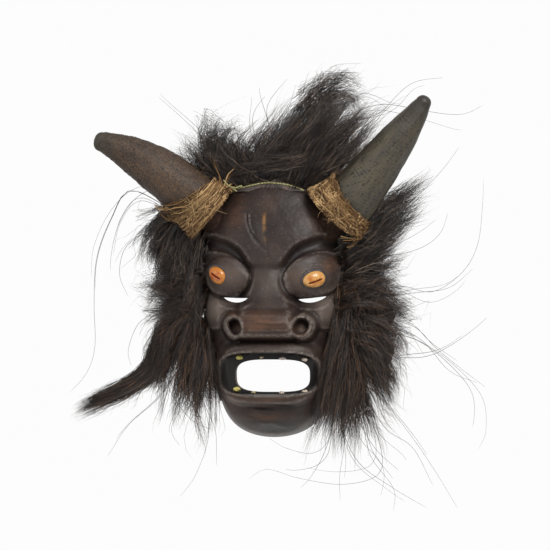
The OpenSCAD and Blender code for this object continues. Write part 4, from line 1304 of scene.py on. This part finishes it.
# %% Right binding
r = rng(71)
right_groups = [
    yarn_paths(r, "right", 80, (-25, 10), (130, 215), (0.02, 1.0), 0.16, 0.06, (2.2, 4.6)),
    yarn_paths(r, "right", 230, (-20, 185), (-40, 40), (0.02, 0.98), 0.45, 0.10, (2.4, 5.0)),
    yarn_paths(r, "right", 60, (150, 340), (60, 150), (0.05, 1.0), 0.10, 0.03, (2.2, 3.6)),
]
for n, last in ((5, (78, -56, 48)), (4, (84, -52, 56)), (3, (72, -60, 58)), (3, (90, -48, 66))):
    right_groups.append(loose_paths(r, 1.5, 1.6, n, [at_right(140, 14, 5), at_right(158, 10, 6), (np.array(last) + at_right(172, 8, 6)) / 2, last], 0.8))
jute_right = yarns("jute_yarn_right", right_groups, (0.32, 0.62), 72)
fuzz = [loose_paths(r, 7.0, 7.0, 50, [at_right(80, 16, 4), at_right(84, 18, 8), at_right(90, 19, 10)], 2.5, 8)]
fuzz_right = yarns("jute_fuzz_right", fuzz, (0.10, 0.18), 74, tone=(0.4, 1.0))
cloth_right = sleeve("right", 75)

for side, cloth, fibres, width in (("left", cloth_left, [jute_left, jute_tuft, fuzz_left], 0.031), ("right", cloth_right, [jute_right, fuzz_right], 0.026)):
    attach(cloth, "root")
    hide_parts("jute_wrap_%s" % side)
    for fibre in fibres:
        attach(fibre, "root")
    print(cloth.name, [len(f.data.polygons) for f in fibres])

# %% [markdown]
# ## Twine, ties and small knots

# %% Twine
def on_wood(x, z, lift):
    x, z = np.asarray(x, float), np.asarray(z, float)
    return np.stack([x, -(dome(x, z) + relief(x, z)) - lift, z], -1)


def twisted(name, points, radius, pitch, mat, strands=2, seed=81):
    """Strands of yarn laid round one another along a line."""
    line = spline(points, max(24, int(len(points) * 16)))
    t = np.gradient(line, axis=0)
    t /= np.linalg.norm(t, axis=1, keepdims=True)
    u = np.cross(t, [0.2, 0.9, 0.3])
    u /= np.linalg.norm(u, axis=1, keepdims=True)
    v = np.cross(t, u)
    run = np.concatenate([[0], np.cumsum(np.linalg.norm(np.diff(line, axis=0), axis=1))])
    paths = []
    for k in range(strands):
        a = 2 * np.pi * (run / pitch + k / strands)
        paths.append(line + radius * 0.55 * (np.cos(a)[:, None] * u + np.sin(a)[:, None] * v))
    paths = np.array(paths)
    made = tubes(name, paths, np.full(paths.shape[:2], radius * 0.62), 7, mat, np.linspace(0.35, 0.8, strands), point=False)
    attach(made, "root")
    return made


twine_xz = [(-42, 106), (-34, 109), (-25, 111), (-15, 113), (-4, 114.5), (7, 114), (17, 112.5), (26, 110), (33, 107)]
brow_twine = twisted("brow_twine_visual", [on_wood(x, z - 1, 3.4).tolist() for x, z in twine_xz], 0.75, 3.2, TWINE)
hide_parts("brow_twine")
end_a = twisted("twine_end_a", [(-46, -54, 116), (-42, -57, 112), (-37, -58, 108), (-32, -59, 104.5)], 0.6, 2.6, TWINE)
end_b = twisted("twine_end_b", [(-38, -58, 109), (-33, -60, 108), (-28, -59, 110), (-27.5, -59, 109)], 0.6, 2.6, TWINE)


def knot(name, middle, size, cord_radius, ends, mat=None):
    """A small round knot: a trefoil pulled tight, with a free end or two."""
    t = np.linspace(0, 2 * np.pi, 60)
    x = np.sin(t) + 2 * np.sin(2 * t)
    z = np.cos(t) - 2 * np.cos(2 * t)
    y = -np.sin(3 * t)
    loop = np.stack([x, y * 1.1, z], 1) * size / 3 + np.array(middle)
    made = [tubes(name, loop[None, :-1], np.full((1, 59), cord_radius), 8, mat or KNOT, [0.5], point=False)]
    for k, way in enumerate(ends):
        made.append(twisted("%s_end_%d" % (name, k), way, cord_radius * 0.8, 2.4, mat or KNOT))
    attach(made[0], "root")
    return made


KNOT = jute_material("old tan string", "#46301a", "#7d5a34", "#b08e58")
tie_left = knot("tie_left_visual", (-74.5, -13, -9), 3.0, 1.15, [[(-75, -15, -12), (-76, -18, -20), (-74, -19, -27), (-69, -20, -34)], [(-75, -15, -8), (-79, -16, -2), (-84, -17, 2)]])
tie_right = knot("tie_right_visual", (74.5, -14, -9), 3.0, 1.25, [[(75, -15, -8), (77, -20, 0), (76, -23, 6)], [(74, -15, -12), (72, -22, -16), (70, -25, -20)]])
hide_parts("tie_left")
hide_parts("tie_right")

# %% [markdown]
# ## Eyes and teeth
# Money cowries, mouth side out, are pressed into dark putty. Their enamel is orange, paler at the rim, and
# very glossy. The pegs in the mouth are broken stubs.

# %% Cowries
EYES = {"left": ((-50, 22), 42, -22), "right": ((43.5, 17.5), -12, 22)}
SHELL_SIZE = {"left": (9.9, 7.8), "right": (11.5, 8.1)}


def eye_place(side):
    (x, z), tilt, turn = EYES[side]
    spot = np.array([x, -(cad_dome_front(x, z)) + 4, z])
    turned = Matrix.Rotation(math.radians(turn), 4, "Z") @ Matrix.Rotation(math.radians(98), 4, "X")
    return Matrix.Translation(Vector(spot)) @ turned @ Matrix.Rotation(math.radians(-tilt), 4, "Z")


def cad_dome_front(x, z):
    return float(dome(np.array([float(x)]), np.array([float(z)]))[0] + relief(np.array([float(x)]), np.array([float(z)]))[0])


def shell_material(name, pale, mid, deep):
    mat, shader = material(name, Roughness=0.24, Specular_IOR_Level=0.3, Coat_Weight=0.2, Coat_Roughness=0.1)
    rim = node(mat, "Attribute", attribute_name="rim")
    slit = node(mat, "Attribute", attribute_name="slit")
    place = node(mat, "TexCoord")
    clouds = node(mat, "TexNoise", {"Vector": (place, "Object")}, Scale=180.0, Detail=4.0)
    base = ramp(mat, clouds, "Fac", [(0.3, colour(deep)), (0.5, colour(mid)), (0.68, colour(pale))])
    edge_ = mix(mat, (ramp(mat, rim, "Fac", [(0.55, 0.0), (1.0, 0.8)]), "Color"), (base, "Color"), colour(pale))
    # painted shade: the groove of the shell's mouth is darkened, less on its teeth
    dark = mix(mat, (slit, "Fac"), edge_, colour("#5a1f0c"))
    join(mat, dark[0], dark[1], shader, "Base Color")
    bump_node = node(mat, "Bump", {"Height": (clouds, "Fac")}, Strength=0.15, Distance=0.0003)
    join(mat, bump_node, "Normal", shader, "Normal")
    return mat


def cowrie(side, mat):
    deselect()
    bpy.ops.mesh.primitive_uv_sphere_add(segments=96, ring_count=64, radius=1)
    shell = bpy.context.object
    shell.name = "cowrie_%s_visual" % side
    p = coords(shell)
    long, wide = SHELL_SIZE[side]
    x, y, z = p[:, 0] * long, p[:, 1] * wide * (1 + 0.10 * p[:, 0]), p[:, 2] * 5.4
    line = 0.9 * np.sin(x / 6.0) - (1.6 if side == "right" else 0.4)
    off = y - line
    on_top = ease(0.0, 0.5, p[:, 2])
    inside = ease(long - 3.2, long - 6.0, np.abs(x))
    groove = np.exp(-((off / 0.8) ** 2)) * inside * on_top
    teeth = (0.5 + 0.5 * np.cos(2 * np.pi * x / 1.55)) * np.exp(-(((np.abs(off) - 1.7) / 1.0) ** 2)) * inside * on_top
    z = z - 2.3 * groove + 0.35 * teeth
    set_coords(shell, np.stack([x, y, z + 4], 1) * MM)
    to_face = eye_place(side)
    to_face.translation *= MM
    points = coords(shell)
    turned = np.array(to_face.to_3x3())
    set_coords(shell, points @ turned.T + np.array(to_face.translation))
    shell.data.materials.append(mat)
    set_attribute(shell, "rim", np.clip(np.hypot(p[:, 0], p[:, 1]), 0, 1))
    # painted shade in the groove, held back on the raised teeth
    set_attribute(shell, "slit", np.clip(groove * 1.3 - 0.25 * teeth, 0, 1))
    smooth(shell)
    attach(shell, "root")
    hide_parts("cowrie_%s" % side)
    return shell


cowrie_left = cowrie("left", shell_material("orange cowrie enamel", "#9c6426", "#8e4a12", "#78300a"))
cowrie_right = cowrie("right", shell_material("pale orange cowrie enamel", "#ab8550", "#996327", "#8a4915"))

# %% Putty
def putty_material():
    mat, shader = material("dark putty", Roughness=0.55)
    place = node(mat, "TexCoord")
    lumps = node(mat, "TexNoise", {"Vector": (place, "Object")}, Scale=500.0, Detail=5.0, Roughness=0.65)
    base = ramp(mat, lumps, "Fac", [(0.35, colour("#170f0e")), (0.65, colour("#2a1e1e"))])
    join(mat, base, "Color", shader, "Base Color")
    bump_node = node(mat, "Bump", {"Height": (lumps, "Fac")}, Strength=0.5, Distance=0.0006)
    join(mat, bump_node, "Normal", shader, "Normal")
    return mat


PUTTY = putty_material()


def putty(side, seed):
    deselect()
    bpy.ops.mesh.primitive_torus_add(major_segments=96, minor_segments=20, major_radius=1, minor_radius=0.22)
    bed = bpy.context.object
    bed.name = "eye_putty_%s_visual" % side
    p = coords(bed)
    ring = np.hypot(p[:, 0], p[:, 1])
    a = np.arctan2(p[:, 1], p[:, 0])
    tube = ring - 1
    long, wide = SHELL_SIZE[side]
    x = np.cos(a) * (long - 0.2 + tube * 11)
    y = np.sin(a) * (wide + 0.1 + tube * 11)
    z = p[:, 2] * 8 + 2.1
    at = np.stack([x, y, z], 1)
    at += 0.35 * noise(at, 5, seed, 2)[:, None] * np.stack([np.cos(a), np.sin(a), 0.6 + 0 * a], 1)
    to_face = eye_place(side)
    turned = np.array(to_face.to_3x3())
    set_coords(bed, (at @ turned.T + np.array(to_face.translation)) * MM)
    bed.data.materials.append(PUTTY)
    smooth(bed)
    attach(bed, "root")
    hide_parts("eye_putty_%s" % side)
    return bed


putty_left, putty_right = putty("left", 91), putty("right", 92)

# %% Teeth
def tooth_material():
    mat, shader = material("stained bone stub", Roughness=0.45)
    tone = node(mat, "Attribute", attribute_name="tone")
    place = node(mat, "TexCoord")
    stain = node(mat, "TexNoise", {"Vector": (place, "Object")}, Scale=700.0, Detail=5.0, Roughness=0.7)
    base = ramp(mat, tone, "Fac", [(0.0, colour("#a49a50")), (1.0, colour("#b9aaa4"))])
    shade = mix(mat, (ramp(mat, stain, "Fac", [(0.42, 0.0), (0.62, 0.8)]), "Color"), (base, "Color"), colour("#4a4026"))
    join(mat, shade[0], shade[1], shader, "Base Color")
    bump_node = node(mat, "Bump", {"Height": (stain, "Fac")}, Strength=0.6, Distance=0.0006)
    join(mat, bump_node, "Normal", shader, "Normal")
    return mat


STUB = tooth_material()
# x, half width, half height and tone of each stub, upper then lower row
STUBS = {
    "teeth_upper": (-60.5, [(-29, 0.4, 3.5, 2.2, 0.0), (-7, 0.6, 2.0, 1.2, 0.5), (14, -0.4, 3.5, 1.4, 1.0), (36, -1.6, 2.8, 1.7, 0.9)]),
    "teeth_lower": (-94.8, [(-31.5, 3.4, 3.7, 2.3, 0.0), (-15, 0.2, 1.9, 1.3, 0.4), (13, 0.0, 2.6, 1.6, 0.9), (36, 1.4, 3.0, 1.6, 0.8)]),
}


def stubs(name, seed):
    z0, row = STUBS[name]
    made = []
    for k, (x, up, w, h, tone) in enumerate(row):
        deselect()
        bpy.ops.mesh.primitive_ico_sphere_add(subdivisions=4, radius=1)
        stub = bpy.context.object
        p = coords(stub)
        at = p * np.array([w, 3.4, h]) + np.array([x, BAND_FRONT, z0 + up])
        at += (p * 0.4 * noise(at, 2.2, seed + k, 3)[:, None]) + np.array([0.5, 0, 0]) * noise(at, 1.1, seed + 9 + k, 1)[:, None] * 0.3
        set_coords(stub, at * MM)
        set_attribute(stub, "tone", np.full(len(p), tone))
        stub.data.materials.append(STUB)
        made.append(stub)
    deselect()
    for stub in made:
        stub.select_set(True)
    bpy.context.view_layer.objects.active = made[0]
    bpy.ops.object.join()
    row_piece = bpy.context.object
    row_piece.name = name + "_visual"
    smooth(row_piece)
    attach(row_piece, "root")
    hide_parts(name)
    return row_piece


BAND_FRONT = -62.5
upper_row, lower_row = stubs("teeth_upper", 101), stubs("teeth_lower", 111)

# %% [markdown]
# ## Hide and plugs
# The strips of hide and the wooden plugs keep their CAD shape, because hair, horn and jute cover nearly
# all of them; they only need their finish.

# %% Hide and plug finishes
def hide_material():
    mat, shader = material("dry hide", Roughness=0.7)
    place = node(mat, "TexCoord")
    skin = node(mat, "TexNoise", {"Vector": (place, "Object")}, Scale=120.0, Detail=6.0, Roughness=0.65)
    pores = node(mat, "TexNoise", {"Vector": (place, "Object")}, Scale=1200.0, Detail=2.0)
    base = ramp(mat, skin, "Fac", [(0.35, colour("#1f1815")), (0.58, colour("#3a2e28")), (0.75, colour("#7a5c50"))])
    join(mat, base, "Color", shader, "Base Color")
    bump_node = node(mat, "Bump", {"Height": (pores, "Fac")}, Strength=0.5, Distance=0.0005)
    join(mat, bump_node, "Normal", shader, "Normal")
    return mat


def plug_material():
    mat, shader = material("plain softwood", Roughness=0.9, Specular_IOR_Level=0.08)
    place = node(mat, "TexCoord")
    grain = node(mat, "TexNoise", {"Vector": (place, "Object")}, Scale=260.0, Detail=5.0, Roughness=0.7, Distortion=0.6)
    base = ramp(mat, grain, "Fac", [(0.35, colour("#1a110d")), (0.65, colour("#2e2019"))])
    join(mat, base, "Color", shader, "Base Color")
    bump_node = node(mat, "Bump", {"Height": (grain, "Fac")}, Strength=0.3, Distance=0.0005)
    join(mat, bump_node, "Normal", shader, "Normal")
    return mat


HIDE, PLUG = hide_material(), plug_material()
for name in ("crown_pelt", "pelt_left_upper", "pelt_left_lower", "pelt_right_upper", "pelt_right_lower", "horn_core_left", "horn_core_right"):
    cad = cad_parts[name]
    cad.data.materials.clear()
    cad.data.materials.append(PLUG if "core" in name else HIDE)
